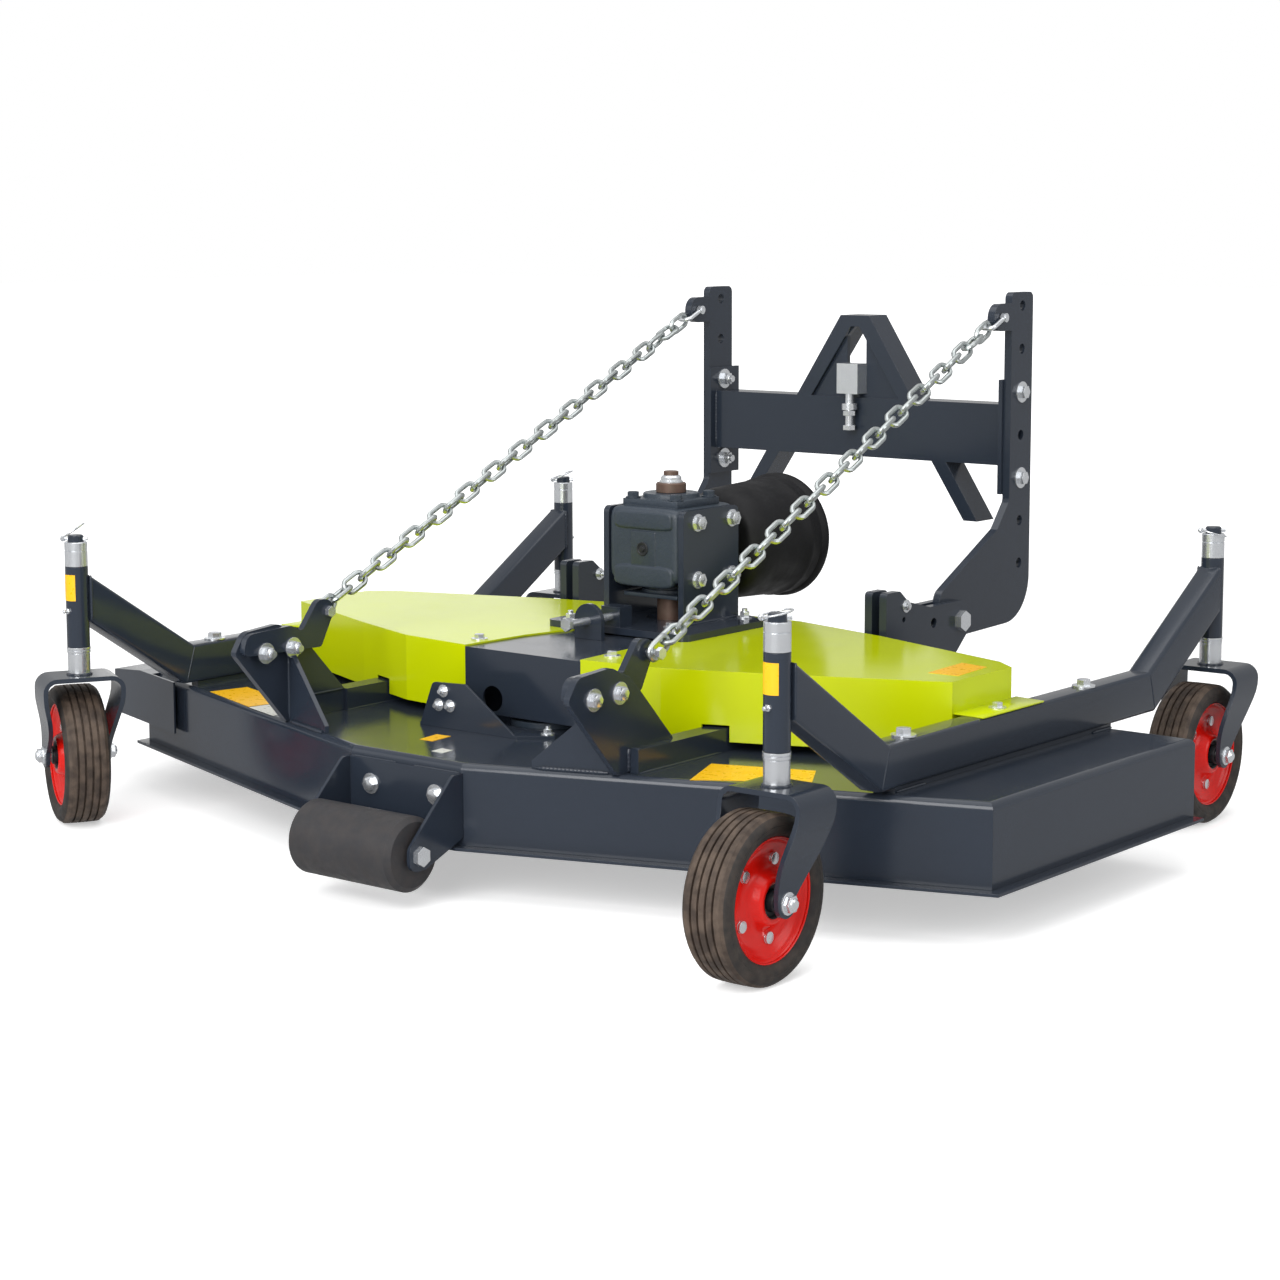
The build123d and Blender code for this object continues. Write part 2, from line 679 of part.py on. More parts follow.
def make_rim(place):
    """Dished rim with its hub, bored for the axle."""
    half = RIM_WIDTH / 2
    seat = RIM_RADIUS - RIM_LIP - SEAT_GAP
    drum = seat - 4
    dish = 52.0
    rows = [
        (-half, seat),
        (half, seat),
        (half, drum - 3),
        (RIM_DISC_HALF + 9, drum - 6),
        (RIM_DISC_HALF, dish),
        (RIM_DISC_HALF, HUB_RADIUS),
        (HUB_HALF_LENGTH, HUB_RADIUS - 4),
        (HUB_HALF_LENGTH, AXLE_RADIUS + RUNNING_GAP),
        (-HUB_HALF_LENGTH, AXLE_RADIUS + RUNNING_GAP),
        (-HUB_HALF_LENGTH, HUB_RADIUS - 4),
        (-RIM_DISC_HALF, HUB_RADIUS),
        (-RIM_DISC_HALF, dish),
        (-RIM_DISC_HALF - 9, drum - 6),
        (-half, drum - 3),
    ]
    return place * turned_x(rows, -CASTOR_TRAIL, TYRE_RADIUS)


def make_inner_rails():
    """Two square rails on the deck, let in round the feet of the anchor plates."""
    top = DECK_TOP_Z + RAIL_HEIGHT
    rail = block(
        (RAIL_X - RAIL_WIDTH / 2, RAIL_FRONT_Y, DECK_TOP_Z),
        (RAIL_X + RAIL_WIDTH / 2, RAIL_REAR_Y, top),
    )
    anchor_foot = block(
        (RAIL_X - RAIL_WIDTH, RAIL_FRONT_Y - 1, DECK_TOP_Z - 1),
        (ANCHOR_OUTER_X + SEAT_GAP, ANCHOR_OUTLINE[-1][0] + SEAT_GAP, top + 1),
    )
    return both_sides(rail - anchor_foot)


def make_centre_box():
    """Folded box between the covers, with a round hole in its front wall."""
    wall = BOX_HALF_WIDTH
    box = block((-wall, BOX_FRONT_Y, DECK_TOP_Z), (wall, BOX_REAR_Y, BOX_TOP_Z))
    box -= block(
        (-wall + BOX_SHEET, BOX_FRONT_Y + BOX_SHEET, DECK_TOP_Z - 1),
        (wall - BOX_SHEET, BOX_REAR_Y + 1, BOX_TOP_Z - BOX_SHEET),
    )
    box -= block((-wall - 1, BOX_FRONT_Y - 1, DECK_TOP_Z - 1), (wall + 1, BOX_FRONT_Y + 30, BOX_FRONT_EDGE_Z))
    box -= rod(
        (BOX_HOLE_X, BOX_FRONT_Y - 1, BOX_HOLE_Z),
        (BOX_HOLE_X, BOX_FRONT_Y + BOX_SHEET + 1, BOX_HOLE_Z),
        BOX_HOLE_RADIUS,
    )
    box -= Pos(0, GEARBOX_Y, BOX_TOP_Z) * Cylinder(BASE_HOLE_RADIUS, 4 * BOX_SHEET)
    return box


def make_cover():
    """Right belt cover: top sheet, walls, rail notches and the tab that bolts to the side beam."""
    top = BOX_TOP_Z + COVER_SHEET
    face = make_face(Polyline(*COVER_OUTLINE, close=True))
    cover = prism_z(face, COVER_SKIRT_Z, top)
    inner = offset(face, amount=-COVER_SHEET, kind=Kind.INTERSECTION)
    cover -= prism_z(inner, COVER_SKIRT_Z - 1, top - COVER_SHEET)
    near = BOX_FRONT_Y - 1
    far = BOX_REAR_Y + BOX_HALF_WIDTH
    cover -= block((0, near, COVER_SKIRT_Z - 1), (BOX_HALF_WIDTH + SEAT_GAP, far, BOX_TOP_Z))
    half_notch = RAIL_WIDTH / 2 + 3
    cover -= block((RAIL_X - half_notch, near, COVER_SKIRT_Z - 1), (RAIL_X + half_notch, far, COVER_NOTCH_Z))
    plate_inner = UPRIGHT_OUTER_X - UPRIGHT_THICKNESS - SLIDING_GAP - PIVOT_PLATE_THICKNESS
    plate_outer = UPRIGHT_OUTER_X + SLIDING_GAP + PIVOT_PLATE_THICKNESS
    slot = [
        (plate_inner - 3, PIVOT_PLATE_OUTLINE[0][0] - 60),
        (plate_outer + 3, PIVOT_PLATE_OUTLINE[0][0] - 60),
        (plate_outer + 3, far),
        (plate_inner - 3, far),
    ]
    beam_inner = BEAM_OUTER_X - BEAM_SIZE
    beam_top = DECK_TOP_Z + BEAM_SIZE
    cover -= plate_z(slot, COVER_SKIRT_Z - 1, COVER_NOTCH_Z)
    cover -= block((beam_inner - 2, near, COVER_SKIRT_Z - 1), (COVER_OUTER_X + 1, far, beam_top))
    tab = [
        (COVER_OUTER_X - COVER_SHEET, COVER_TAB_FRONT_Y),
        (COVER_OUTER_X + COVER_TAB_REACH, COVER_TAB_FRONT_Y + 10),
        (COVER_OUTER_X + COVER_TAB_REACH, 18),
        (COVER_OUTER_X - COVER_SHEET, 28),
    ]
    return cover + plate_z(tab, beam_top, beam_top + COVER_SHEET)


def make_covers():
    """Both belt covers."""
    return both_sides(make_cover())


def make_gearbox_mount():
    """Base plate with two side plates that hold the gearbox."""
    low = BOX_TOP_Z + COVER_SHEET
    high = low + BASE_THICKNESS
    base = [
        (-BASE_HALF_WIDTH, BASE_FRONT_Y),
        (BASE_HALF_WIDTH, BASE_FRONT_Y),
        (BASE_HALF_WIDTH, BASE_REAR_Y),
        (-BASE_HALF_WIDTH, BASE_REAR_Y),
    ]
    mount = plate_z(base, low, high, [16] * 4)
    mount -= Pos(0, GEARBOX_Y, low) * Cylinder(BASE_HOLE_RADIUS, 4 * BASE_THICKNESS)
    cheek = [
        (CHEEK_FRONT_Y, high),
        (CHEEK_REAR_Y, high),
        (CHEEK_REAR_Y, CHEEK_TOP_Z),
        (CHEEK_FRONT_Y, CHEEK_TOP_Z),
    ]
    for side in (-1, 1):
        near, far = sorted((side * (CHEEK_OUTER_X - CHEEK_THICKNESS), side * CHEEK_OUTER_X))
        mount += plate_x(cheek, near, far, [0, 0, CHEEK_CORNER, CHEEK_CORNER])
    nut_block = block(
        (TENSION_X - BLOCK_HALF_WIDTH, BLOCK_REAR_Y - BLOCK_DEPTH, high),
        (TENSION_X + BLOCK_HALF_WIDTH, BLOCK_REAR_Y, high + BLOCK_HEIGHT),
    )
    nut_block -= rod(
        (TENSION_X, BLOCK_REAR_Y - BLOCK_DEPTH - 1, TENSION_BOLT_Z),
        (TENSION_X, BLOCK_REAR_Y + 1, TENSION_BOLT_Z),
        TENSION_BOLT_RADIUS + RUNNING_GAP,
    )
    return mount + nut_block


def make_gearbox():
    """Cast gearbox: body with raised front panels, top flange, sump and input hub."""
    half = CHEEK_OUTER_X - CHEEK_THICKNESS
    front = GEARBOX_Y - CASTING_HALF_DEPTH
    rear = GEARBOX_Y + CASTING_HALF_DEPTH
    body = block((-half, front + PANEL_DEPTH, CASTING_LOW_Z), (half, rear, CASTING_HIGH_Z))
    body = fillet(body.edges().filter_by(Axis.X), CASTING_CORNER)
    middle = (CASTING_LOW_Z + CASTING_HIGH_Z) / 2
    for side in (-1, 1):
        centre = middle + side * PANEL_OFFSET
        low, high = centre - PANEL_HEIGHT / 2, centre + PANEL_HEIGHT / 2
        panel = [(-PANEL_HALF, low), (PANEL_HALF, low), (PANEL_HALF, high), (-PANEL_HALF, high)]
        body += plate_y(panel, front, GEARBOX_Y, [PANEL_CORNER] * 4)
    for x in CASTING_RIBS:
        body += block((x - RIB_WIDTH / 2, front, middle - PANEL_OFFSET), (x + RIB_WIDTH / 2, GEARBOX_Y, middle + PANEL_OFFSET))
    body += rod((0, front, middle), (0, GEARBOX_Y, middle), PLUG_RADIUS)
    body += block(
        (-FLANGE_HALF, GEARBOX_Y - FLANGE_HALF, CASTING_HIGH_Z - 1),
        (FLANGE_HALF, GEARBOX_Y + FLANGE_HALF, CASTING_HIGH_Z + FLANGE_THICKNESS),
    )
    boss_low = CASTING_HIGH_Z + FLANGE_THICKNESS
    body += rod((0, GEARBOX_Y, boss_low), (0, GEARBOX_Y, boss_low + BOSS_HEIGHT), BOSS_RADIUS)
    body += rod((0, GEARBOX_Y, CASTING_LOW_Z - SUMP_HEIGHT), (0, GEARBOX_Y, CASTING_LOW_Z + 1), SUMP_RADIUS)
    hub_end = rear + INPUT_HUB_LENGTH
    body += rod((0, rear - 1, INPUT_Z), (0, hub_end, INPUT_Z), INPUT_HUB_RADIUS)
    journal_start = hub_end - INPUT_JOURNAL_LENGTH - SLIDING_GAP
    body -= rod((0, journal_start, INPUT_Z), (0, hub_end + 1, INPUT_Z), INPUT_JOURNAL_RADIUS + RUNNING_GAP)
    low = CASTING_LOW_Z - SUMP_HEIGHT
    body -= rod((0, GEARBOX_Y, low - 1), (0, GEARBOX_Y, low + 8), OUTPUT_RADIUS + RUNNING_GAP)
    return body


def make_gearbox_cap():
    """Collar and stepped nut on top of the gearbox."""
    low = CASTING_HIGH_Z + FLANGE_THICKNESS + BOSS_HEIGHT
    cap = rod((0, GEARBOX_Y, low), (0, GEARBOX_Y, low + COLLAR_HEIGHT), COLLAR_RADIUS)
    top = low + COLLAR_HEIGHT
    return cap + rod((0, GEARBOX_Y, top), (0, GEARBOX_Y, top + NUT_HEIGHT), NUT_RADIUS)


def input_hub_end():
    """y of the rear face of the gearbox's input hub."""
    return GEARBOX_Y + CASTING_HALF_DEPTH + INPUT_HUB_LENGTH


def make_shaft_guard():
    """Hollow cone over the input shaft, closed at the gearbox and open at the rear."""
    start = input_hub_end()
    end = start + GUARD_LENGTH
    band_start = end - GUARD_BAND_LENGTH
    near_in = GUARD_NEAR_RADIUS - GUARD_WALL
    far_in = GUARD_FAR_RADIUS - GUARD_WALL
    face = make_face(
        FilletPolyline(
            (start, GUARD_HOLE_RADIUS),
            (start, GUARD_NEAR_RADIUS),
            (band_start, GUARD_FAR_RADIUS),
            (band_start, GUARD_FAR_RADIUS + GUARD_BAND),
            (end, GUARD_FAR_RADIUS + GUARD_BAND),
            (end, far_in),
            (start + GUARD_WALL, near_in),
            (start + GUARD_WALL, GUARD_HOLE_RADIUS),
            radius=[0, GUARD_ROUND, 0, 2, 2, 0, GUARD_ROUND - GUARD_WALL, 0],
            close=True,
        )
    )
    guard = revolve(Plane.YZ * face, axis=Axis.Y, revolution_arc=360)
    return Pos(0, 0, INPUT_Z) * guard


def make_input_shaft():
    """Input stub that the drive shaft slides on, with a thinner journal inside the hub."""
    start = input_hub_end() + SLIDING_GAP
    end = start + INPUT_SHAFT_LENGTH
    shaft = rod((0, start, INPUT_Z), (0, end, INPUT_Z), INPUT_SHAFT_RADIUS)
    return shaft + rod((0, start - INPUT_JOURNAL_LENGTH, INPUT_Z), (0, start + 1, INPUT_Z), INPUT_JOURNAL_RADIUS)


def make_output_shaft():
    """Vertical shaft from the gearbox down into the belt housing."""
    top = CASTING_LOW_Z - SUMP_HEIGHT + 8 - SLIDING_GAP
    return rod((0, GEARBOX_Y, OUTPUT_LOW_Z), (0, GEARBOX_Y, top), OUTPUT_RADIUS)


def make_tension_ear():
    """Round-topped ear that the belt tensioner's bolt pushes against."""
    low = BOX_TOP_Z
    ear = block((TENSION_X - EAR_RADIUS, EAR_Y, low), (TENSION_X + EAR_RADIUS, EAR_Y + EAR_THICKNESS, TENSION_BOLT_Z))
    ear += rod((TENSION_X, EAR_Y, TENSION_BOLT_Z), (TENSION_X, EAR_Y + EAR_THICKNESS, TENSION_BOLT_Z), EAR_RADIUS)
    ear -= rod(
        (TENSION_X, EAR_Y - 1, TENSION_BOLT_Z),
        (TENSION_X, EAR_Y + EAR_THICKNESS + 1, TENSION_BOLT_Z),
        TENSION_BOLT_RADIUS + RUNNING_GAP,
    )
    return ear


def make_tension_bolt():
    """Long bolt of the belt tensioner."""
    head_end = TENSION_BOLT_FRONT_Y + TENSION_HEAD_LENGTH
    bolt = hexagon_bar(
        (TENSION_X, TENSION_BOLT_FRONT_Y, TENSION_BOLT_Z), (TENSION_X, head_end, TENSION_BOLT_Z), TENSION_HEAD_RADIUS
    )
    bolt += rod((TENSION_X, head_end, TENSION_BOLT_Z), (TENSION_X, BLOCK_REAR_Y, TENSION_BOLT_Z), TENSION_BOLT_RADIUS)
    nut_start = EAR_Y + EAR_THICKNESS
    bolt += hexagon_bar(
        (TENSION_X, nut_start, TENSION_BOLT_Z),
        (TENSION_X, nut_start + TENSION_HEAD_LENGTH, TENSION_BOLT_Z),
        TENSION_HEAD_RADIUS,
    )
    return bolt


def make_front_bracket():
    """Folded bracket bolted to the deck in front of the centre box."""
    upright = [(-162, DECK_TOP_Z), (-132, 296), (-59, 299), (56, DECK_TOP_Z)]
    y = FRONT_BRACKET_Y
    bracket = plate_y(upright, y, y + FRONT_BRACKET_SHEET, [0, 10, 10, 0])
    foot = [(-162, y), (56, y), (104, y + 41), (80, y + 60), (-120, y + 60), (-162, y + 30)]
    return bracket + plate_z(foot, DECK_TOP_Z, DECK_TOP_Z + FRONT_BRACKET_SHEET)


def anchor_gusset():
    """Three-cornered gusset behind the deck's front edge, against the right anchor plate."""
    slope = (DECK_SHOULDER_Y - DECK_NOSE_Y) / (DECK_HALF_WIDTH - DECK_NOSE_HALF)
    inner_x = ANCHOR_OUTER_X - ANCHOR_THICKNESS
    y = DECK_NOSE_Y + slope * (inner_x - DECK_NOSE_HALF) + GUSSET_SETBACK
    low = DECK_TOP_Z
    side = [
        (-GUSSET_THICKNESS, low),
        (-GUSSET_THICKNESS, low + GUSSET_HEIGHT),
        (GUSSET_FLAT, low + GUSSET_HEIGHT),
        (GUSSET_REACH, low + GUSSET_BLUNT),
        (GUSSET_REACH, low),
    ]
    place = Plane(origin=(inner_x, y, 0), x_dir=(-1, -slope, 0), z_dir=Vector(-slope, 1, 0))
    sheet = extrude(place * outline_face(side), amount=GUSSET_THICKNESS)
    beyond = block((inner_x, y - GUSSET_REACH, low - 1), (inner_x + GUSSET_REACH, y + GUSSET_REACH, low + 200))
    return sheet - beyond


def make_chain_anchors():
    """Shaped plates that carry the arms of the chains, each with a gusset."""
    points, radii = split_rows(ANCHOR_OUTLINE)
    plate = plate_x(points, ANCHOR_OUTER_X - ANCHOR_THICKNESS, ANCHOR_OUTER_X, radii)
    return both_sides(plate + anchor_gusset())


def arm_sides():
    """Inner and outer x of the right anchor's arm."""
    outer_x = ANCHOR_OUTER_X - ANCHOR_THICKNESS
    return outer_x - ARM_THICKNESS, outer_x


def make_anchor_arms():
    """Cranked arms bolted inside the anchor plates, bored for the bolts of the chains."""
    points, radii = split_rows(ARM_OUTLINE)
    inner_x, outer_x = arm_sides()
    arm = plate_x(points, inner_x, outer_x, radii)
    arm -= rod(
        (inner_x - 1, ANCHOR_PIN_Y, ANCHOR_PIN_Z),
        (outer_x + 1, ANCHOR_PIN_Y, ANCHOR_PIN_Z),
        ANCHOR_PIN_RADIUS + RUNNING_GAP,
    )
    return both_sides(arm)


def make_anchor_bolts():
    """Bolts through the arms' lugs that the first chain links hang on."""
    inner_x, outer_x = arm_sides()
    head_x = 2 * CHAIN_LOW_X - outer_x
    bolt = rod((inner_x, ANCHOR_PIN_Y, ANCHOR_PIN_Z), (head_x, ANCHOR_PIN_Y, ANCHOR_PIN_Z), ANCHOR_PIN_RADIUS)
    for low, high in ((inner_x - ANCHOR_HEAD_LENGTH, inner_x), (head_x, head_x + ANCHOR_HEAD_LENGTH)):
        bolt += hexagon_bar((low, ANCHOR_PIN_Y, ANCHOR_PIN_Z), (high, ANCHOR_PIN_Y, ANCHOR_PIN_Z), ANCHOR_HEAD_RADIUS)
    return both_sides(bolt)


def make_roller_bracket():
    """Mounting plate on the deck's nose with two side arms for the roller."""
    back = DECK_NOSE_Y
    inner = ROLLER_HALF_LENGTH + ROLLER_SIDE_GAP
    outer = inner + ROLLER_PLATE
    low = ROLLER_MOUNT_LOW_Z
    high = ROLLER_MOUNT_HIGH_Z
    bracket = block((-outer, back - ROLLER_PLATE, low), (outer, back, high))
    arm = [
        (back, low),
        (back, high),
        (back - 22, high),
        (ROLLER_Y - 22, ROLLER_Z + 14),
        (ROLLER_Y - 22, ROLLER_Z - 24),
        (ROLLER_Y + 14, ROLLER_Z - 24),
    ]
    for side in (-1, 1):
        near, far = sorted((side * inner, side * outer))
        bracket += plate_x(arm, near, far, [0, 0, 12, 18, 18, 12])
    bracket -= rod(
        (-outer - 1, ROLLER_Y, ROLLER_Z),
        (outer + 1, ROLLER_Y, ROLLER_Z),
        ROLLER_AXLE_RADIUS + RUNNING_GAP,
    )
    return bracket


def make_roller_axle():
    """Bolt through the roller, with a head and a nut outside the arms."""
    outer = ROLLER_HALF_LENGTH + ROLLER_SIDE_GAP + ROLLER_PLATE
    axle = rod((-outer, ROLLER_Y, ROLLER_Z), (outer, ROLLER_Y, ROLLER_Z), ROLLER_AXLE_RADIUS)
    for side in (-1, 1):
        axle += hexagon_bar((side * outer, ROLLER_Y, ROLLER_Z), (side * (outer + 10), ROLLER_Y, ROLLER_Z), 16)
    return axle


def make_roller():
    """Solid roller, bored for its axle."""
    half = ROLLER_HALF_LENGTH
    bore = ROLLER_AXLE_RADIUS + RUNNING_GAP
    rows = [
        (-half, bore),
        (-half, ROLLER_RADIUS - ROLLER_EDGE),
        (-half + ROLLER_EDGE, ROLLER_RADIUS),
        (half - ROLLER_EDGE, ROLLER_RADIUS),
        (half, ROLLER_RADIUS - ROLLER_EDGE),
        (half, bore),
    ]
    return turned_x(rows, ROLLER_Y, ROLLER_Z)


def make_spindle_housings():
    """Three bearing housings through the deck, each bored for its spindle."""
    housings = []
    for _, x, y, _ in SPINDLES:
        housing = rod((x, y, HOUSING_LOW_Z), (x, y, HOUSING_HIGH_Z), HOUSING_RADIUS)
        housing += rod((x, y, DECK_TOP_Z), (x, y, DECK_TOP_Z + HOUSING_FLANGE), HOUSING_FLANGE_RADIUS)
        housing -= rod((x, y, HOUSING_LOW_Z - 1), (x, y, SPINDLE_TOP_Z + SLIDING_GAP), SPINDLE_RADIUS + RUNNING_GAP)
        housings += housing.solids()
    return Compound(children=housings)


def make_blade(x, y, heading):
    """Blade bar with its boss, spindle and nut."""
    half = BLADE_LENGTH / 2
    tip = BLADE_WIDTH / 2
    bar = [(-half, -tip + 14), (-half + 60, -tip), (half, -tip), (half, tip - 14), (half - 60, tip), (-half, tip)]
    blade = plate_z(bar, BLADE_Z - BLADE_THICKNESS, BLADE_Z)
    blade += rod((0, 0, BLADE_Z), (0, 0, BLADE_Z + BLADE_BOSS_HEIGHT), BLADE_BOSS_RADIUS)
    blade += rod((0, 0, BLADE_Z), (0, 0, SPINDLE_TOP_Z), SPINDLE_RADIUS)
    low = BLADE_Z - BLADE_THICKNESS
    blade += hexagon_bar((0, 0, low - BLADE_NUT_HEIGHT), (0, 0, low), BLADE_NUT_RADIUS)
    return Pos(x, y, 0) * Rot(0, 0, heading) * blade


def pivot_plate_sides():
    """x ranges of the two plates on the right that hold one upright between them."""
    inner_face = UPRIGHT_OUTER_X - UPRIGHT_THICKNESS - SLIDING_GAP
    outer_face = UPRIGHT_OUTER_X + SLIDING_GAP
    return ((inner_face - PIVOT_PLATE_THICKNESS, inner_face), (outer_face, outer_face + PIVOT_PLATE_THICKNESS))


def make_pivot_plates():
    """Paired plates on the rails, tied together, bored for the pivot bolts."""
    points, radii = split_rows(PIVOT_PLATE_OUTLINE)
    (inner_low, inner_high), (outer_low, outer_high) = pivot_plate_sides()
    pair = plate_x(points, inner_low, inner_high, radii) + plate_x(points, outer_low, outer_high, radii)
    rail_top = DECK_TOP_Z + RAIL_HEIGHT
    pair += block((inner_low, points[0][0], DECK_TOP_Z), (inner_high, points[-1][0], rail_top))
    pair += rod((inner_low, PIVOT_TIE_Y, PIVOT_TIE_Z), (outer_high, PIVOT_TIE_Y, PIVOT_TIE_Z), PIVOT_TIE_RADIUS)
    for y, z, radius in PIVOT_PLATE_HOLES:
        pair -= rod((outer_low - 1, y, z), (outer_high + 1, y, z), radius)
    pair -= rod((inner_low - 1, PIVOT_Y, PIVOT_Z), (outer_high + 1, PIVOT_Y, PIVOT_Z), PIVOT_RADIUS + RUNNING_GAP)
    return both_sides(pair)


def make_pivot_bolts():
    """Bolts that the uprights swing on."""
    (inner_low, _), (_, outer_high) = pivot_plate_sides()
    bolt = rod((inner_low, PIVOT_Y, PIVOT_Z), (outer_high, PIVOT_Y, PIVOT_Z), PIVOT_RADIUS)
    ends = ((inner_low - PIVOT_HEAD_LENGTH, inner_low), (outer_high, outer_high + PIVOT_HEAD_LENGTH))
    for low, high in ends:
        bolt += hexagon_bar((low, PIVOT_Y, PIVOT_Z), (high, PIVOT_Y, PIVOT_Z), PIVOT_HEAD_RADIUS)
    return both_sides(bolt)


def make_uprights():
    """Curved uprights with a row of holes, a pivot bore and an ear for the chain."""
    points, radii = split_rows(UPRIGHT_OUTLINE)
    inner_x = UPRIGHT_OUTER_X - UPRIGHT_THICKNESS
    upright = plate_x(points, inner_x, UPRIGHT_OUTER_X, radii)
    upright += rod((inner_x, CHAIN_EAR_Y, CHAIN_EAR_Z), (UPRIGHT_OUTER_X, CHAIN_EAR_Y, CHAIN_EAR_Z), CHAIN_EAR_RADIUS)
    upright += block(
        (inner_x, CHAIN_EAR_Y, CHAIN_EAR_Z - CHAIN_EAR_RADIUS),
        (UPRIGHT_OUTER_X, UPRIGHT_FRONT_Y + 1, CHAIN_EAR_Z + CHAIN_EAR_RADIUS),
    )
    holes = [(HOLE_Y, HOLE_TOP_Z - step * HOLE_PITCH, HOLE_RADIUS) for step in range(HOLE_COUNT)]
    holes.append((PIVOT_Y, PIVOT_Z, PIVOT_RADIUS + RUNNING_GAP))
    holes.append((CHAIN_EAR_Y, CHAIN_EAR_Z, CHAIN_EAR_HOLE))
    for y, z, radius in holes:
        upright -= rod((inner_x - 1, y, z), (UPRIGHT_OUTER_X + 1, y, z), radius)
    return both_sides(upright)


def leg_outer_x(z):
    """Outer edge of an A-frame leg at height z."""
    return APEX_HALF + LEG_SLOPE * (APEX_Z - z)


def make_hitch_frame():
    """A-frame: end plates, hollow cross beam, two sloping legs and the web under the apex."""
    side_x = UPRIGHT_OUTER_X - UPRIGHT_THICKNESS
    rear = FRAME_FRONT_Y + FRAME_DEPTH
    frame = block((-side_x, FRAME_FRONT_Y, CROSS_LOW_Z), (side_x, rear, CROSS_HIGH_Z))
    frame -= block(
        (-side_x - 1, FRAME_FRONT_Y + FRAME_WALL, CROSS_LOW_Z + FRAME_WALL),
        (side_x + 1, rear - FRAME_WALL, CROSS_HIGH_Z - FRAME_WALL),
    )
    foot_x = leg_outer_x(LEG_FOOT_Z)
    inner_top = APEX_Z - (LEG_FLAT - APEX_HALF + LEG_FLAT) / LEG_SLOPE
    legs = [
        (-foot_x, LEG_FOOT_Z),
        (-APEX_HALF, APEX_Z),
        (APEX_HALF, APEX_Z),
        (foot_x, LEG_FOOT_Z),
        (foot_x - LEG_FLAT, LEG_FOOT_Z),
        (LEG_FLAT / 2 - 5, inner_top + 20),
        (-LEG_FLAT / 2 + 5, inner_top + 20),
        (-foot_x + LEG_FLAT, LEG_FOOT_Z),
    ]
    frame += plate_y(legs, FRAME_FRONT_Y, rear)
    web_x = leg_outer_x(CROSS_HIGH_Z) - LEG_FLAT / 2
    web = [(-web_x, CROSS_HIGH_Z - 1), (web_x, CROSS_HIGH_Z - 1), (12, APEX_Z - 10), (-12, APEX_Z - 10)]
    web_front = FRAME_FRONT_Y + WEB_SETBACK
    web_plate = plate_y(web, web_front, web_front + WEB_THICKNESS)
    slot = [
        (-LATCH_SLOT_HALF, LATCH_SLOT_LOW_Z),
        (LATCH_SLOT_HALF, LATCH_SLOT_LOW_Z),
        (LATCH_SLOT_HALF, LATCH_SLOT_HIGH_Z),
        (0, LATCH_SLOT_TIP_Z),
        (-LATCH_SLOT_HALF, LATCH_SLOT_HIGH_Z),
    ]
    web_plate -= plate_y(slot, web_front - 1, web_front + WEB_THICKNESS + 1)
    frame += web_plate
    for side in (-1, 1):
        near, far = sorted((side * (side_x - FRAME_PLATE), side * side_x))
        frame += block(
            (near, FRAME_PLATE_FRONT_Y, FRAME_PLATE_LOW_Z),
            (far, FRAME_PLATE_REAR_Y, FRAME_PLATE_HIGH_Z),
        )
    for step in (2, 4):
        z = HOLE_TOP_Z - step * HOLE_PITCH
        for side in (-1, 1):
            frame -= rod((side * (side_x + 1), HOLE_Y, z), (side * (side_x - FRAME_PLATE - 1), HOLE_Y, z), HOLE_RADIUS)
    return frame


def make_latch_block():
    """Silver latch block in front of the web."""
    back = FRAME_FRONT_Y + WEB_SETBACK
    return block((-LATCH_HALF_WIDTH, LATCH_FRONT_Y, LATCH_LOW_Z), (LATCH_HALF_WIDTH, back, LATCH_HIGH_Z))


def make_latch_bolt():
    """Adjusting bolt under the latch block, with its boss and nuts."""
    y = LATCH_BOLT_Y
    bolt = rod((0, y, LATCH_BOLT_LOW_Z), (0, y, LATCH_LOW_Z), LATCH_BOLT_RADIUS)
    bolt += rod((0, y, LATCH_BOSS_LOW_Z), (0, y, LATCH_BOSS_LOW_Z + LATCH_BOSS_HEIGHT), LATCH_BOSS_RADIUS)
    for low in (LATCH_BOLT_LOW_Z, LATCH_BOSS_LOW_Z - 11):
        bolt += hexagon_bar((0, y, low), (0, y, low + 9), LATCH_NUT_RADIUS)
    return bolt


def chain_link(length):
    """One link drawn along X with its wire flat in XY."""
    wide = CHAIN_INNER_WIDTH / 2 + CHAIN_WIRE
    end = length / 2 + CHAIN_WIRE
    nose = wide / 2
    ring = plate_z(
        [(-end, -nose), (-end + nose, -wide), (end - nose, -wide), (end, -nose),
         (end, nose), (end - nose, wide), (-end + nose, wide), (-end, nose)],
        -CHAIN_WIRE / 2,
        CHAIN_WIRE / 2,
    )
    return ring - Box(length, CHAIN_INNER_WIDTH, 2 * CHAIN_WIRE)


def chain_line():
    """Anchor pin, shackle bow and the direction of the right chain between them."""
    low = Vector(CHAIN_LOW_X, ANCHOR_PIN_Y, ANCHOR_PIN_Z)
    high = Vector(CHAIN_HIGH_X, CHAIN_EAR_Y, CHAIN_EAR_Z)
    direction = (high - low).normalized()
    return low, high - direction * SHACKLE_LENGTH, direction


def link_turn(number):
    """Turn of a link about the chain, from flat against the anchor to flat in the shackle."""
    last = CHAIN_LINKS - 1
    if number < len(CHAIN_TWIST):
        twist = CHAIN_TWIST[number]
    elif last - number < len(CHAIN_TWIST):
        twist = 2 * CHAIN_SLANT - CHAIN_TWIST[last - number]
    else:
        twist = CHAIN_SLANT
    return 90 * (number % 2) + twist


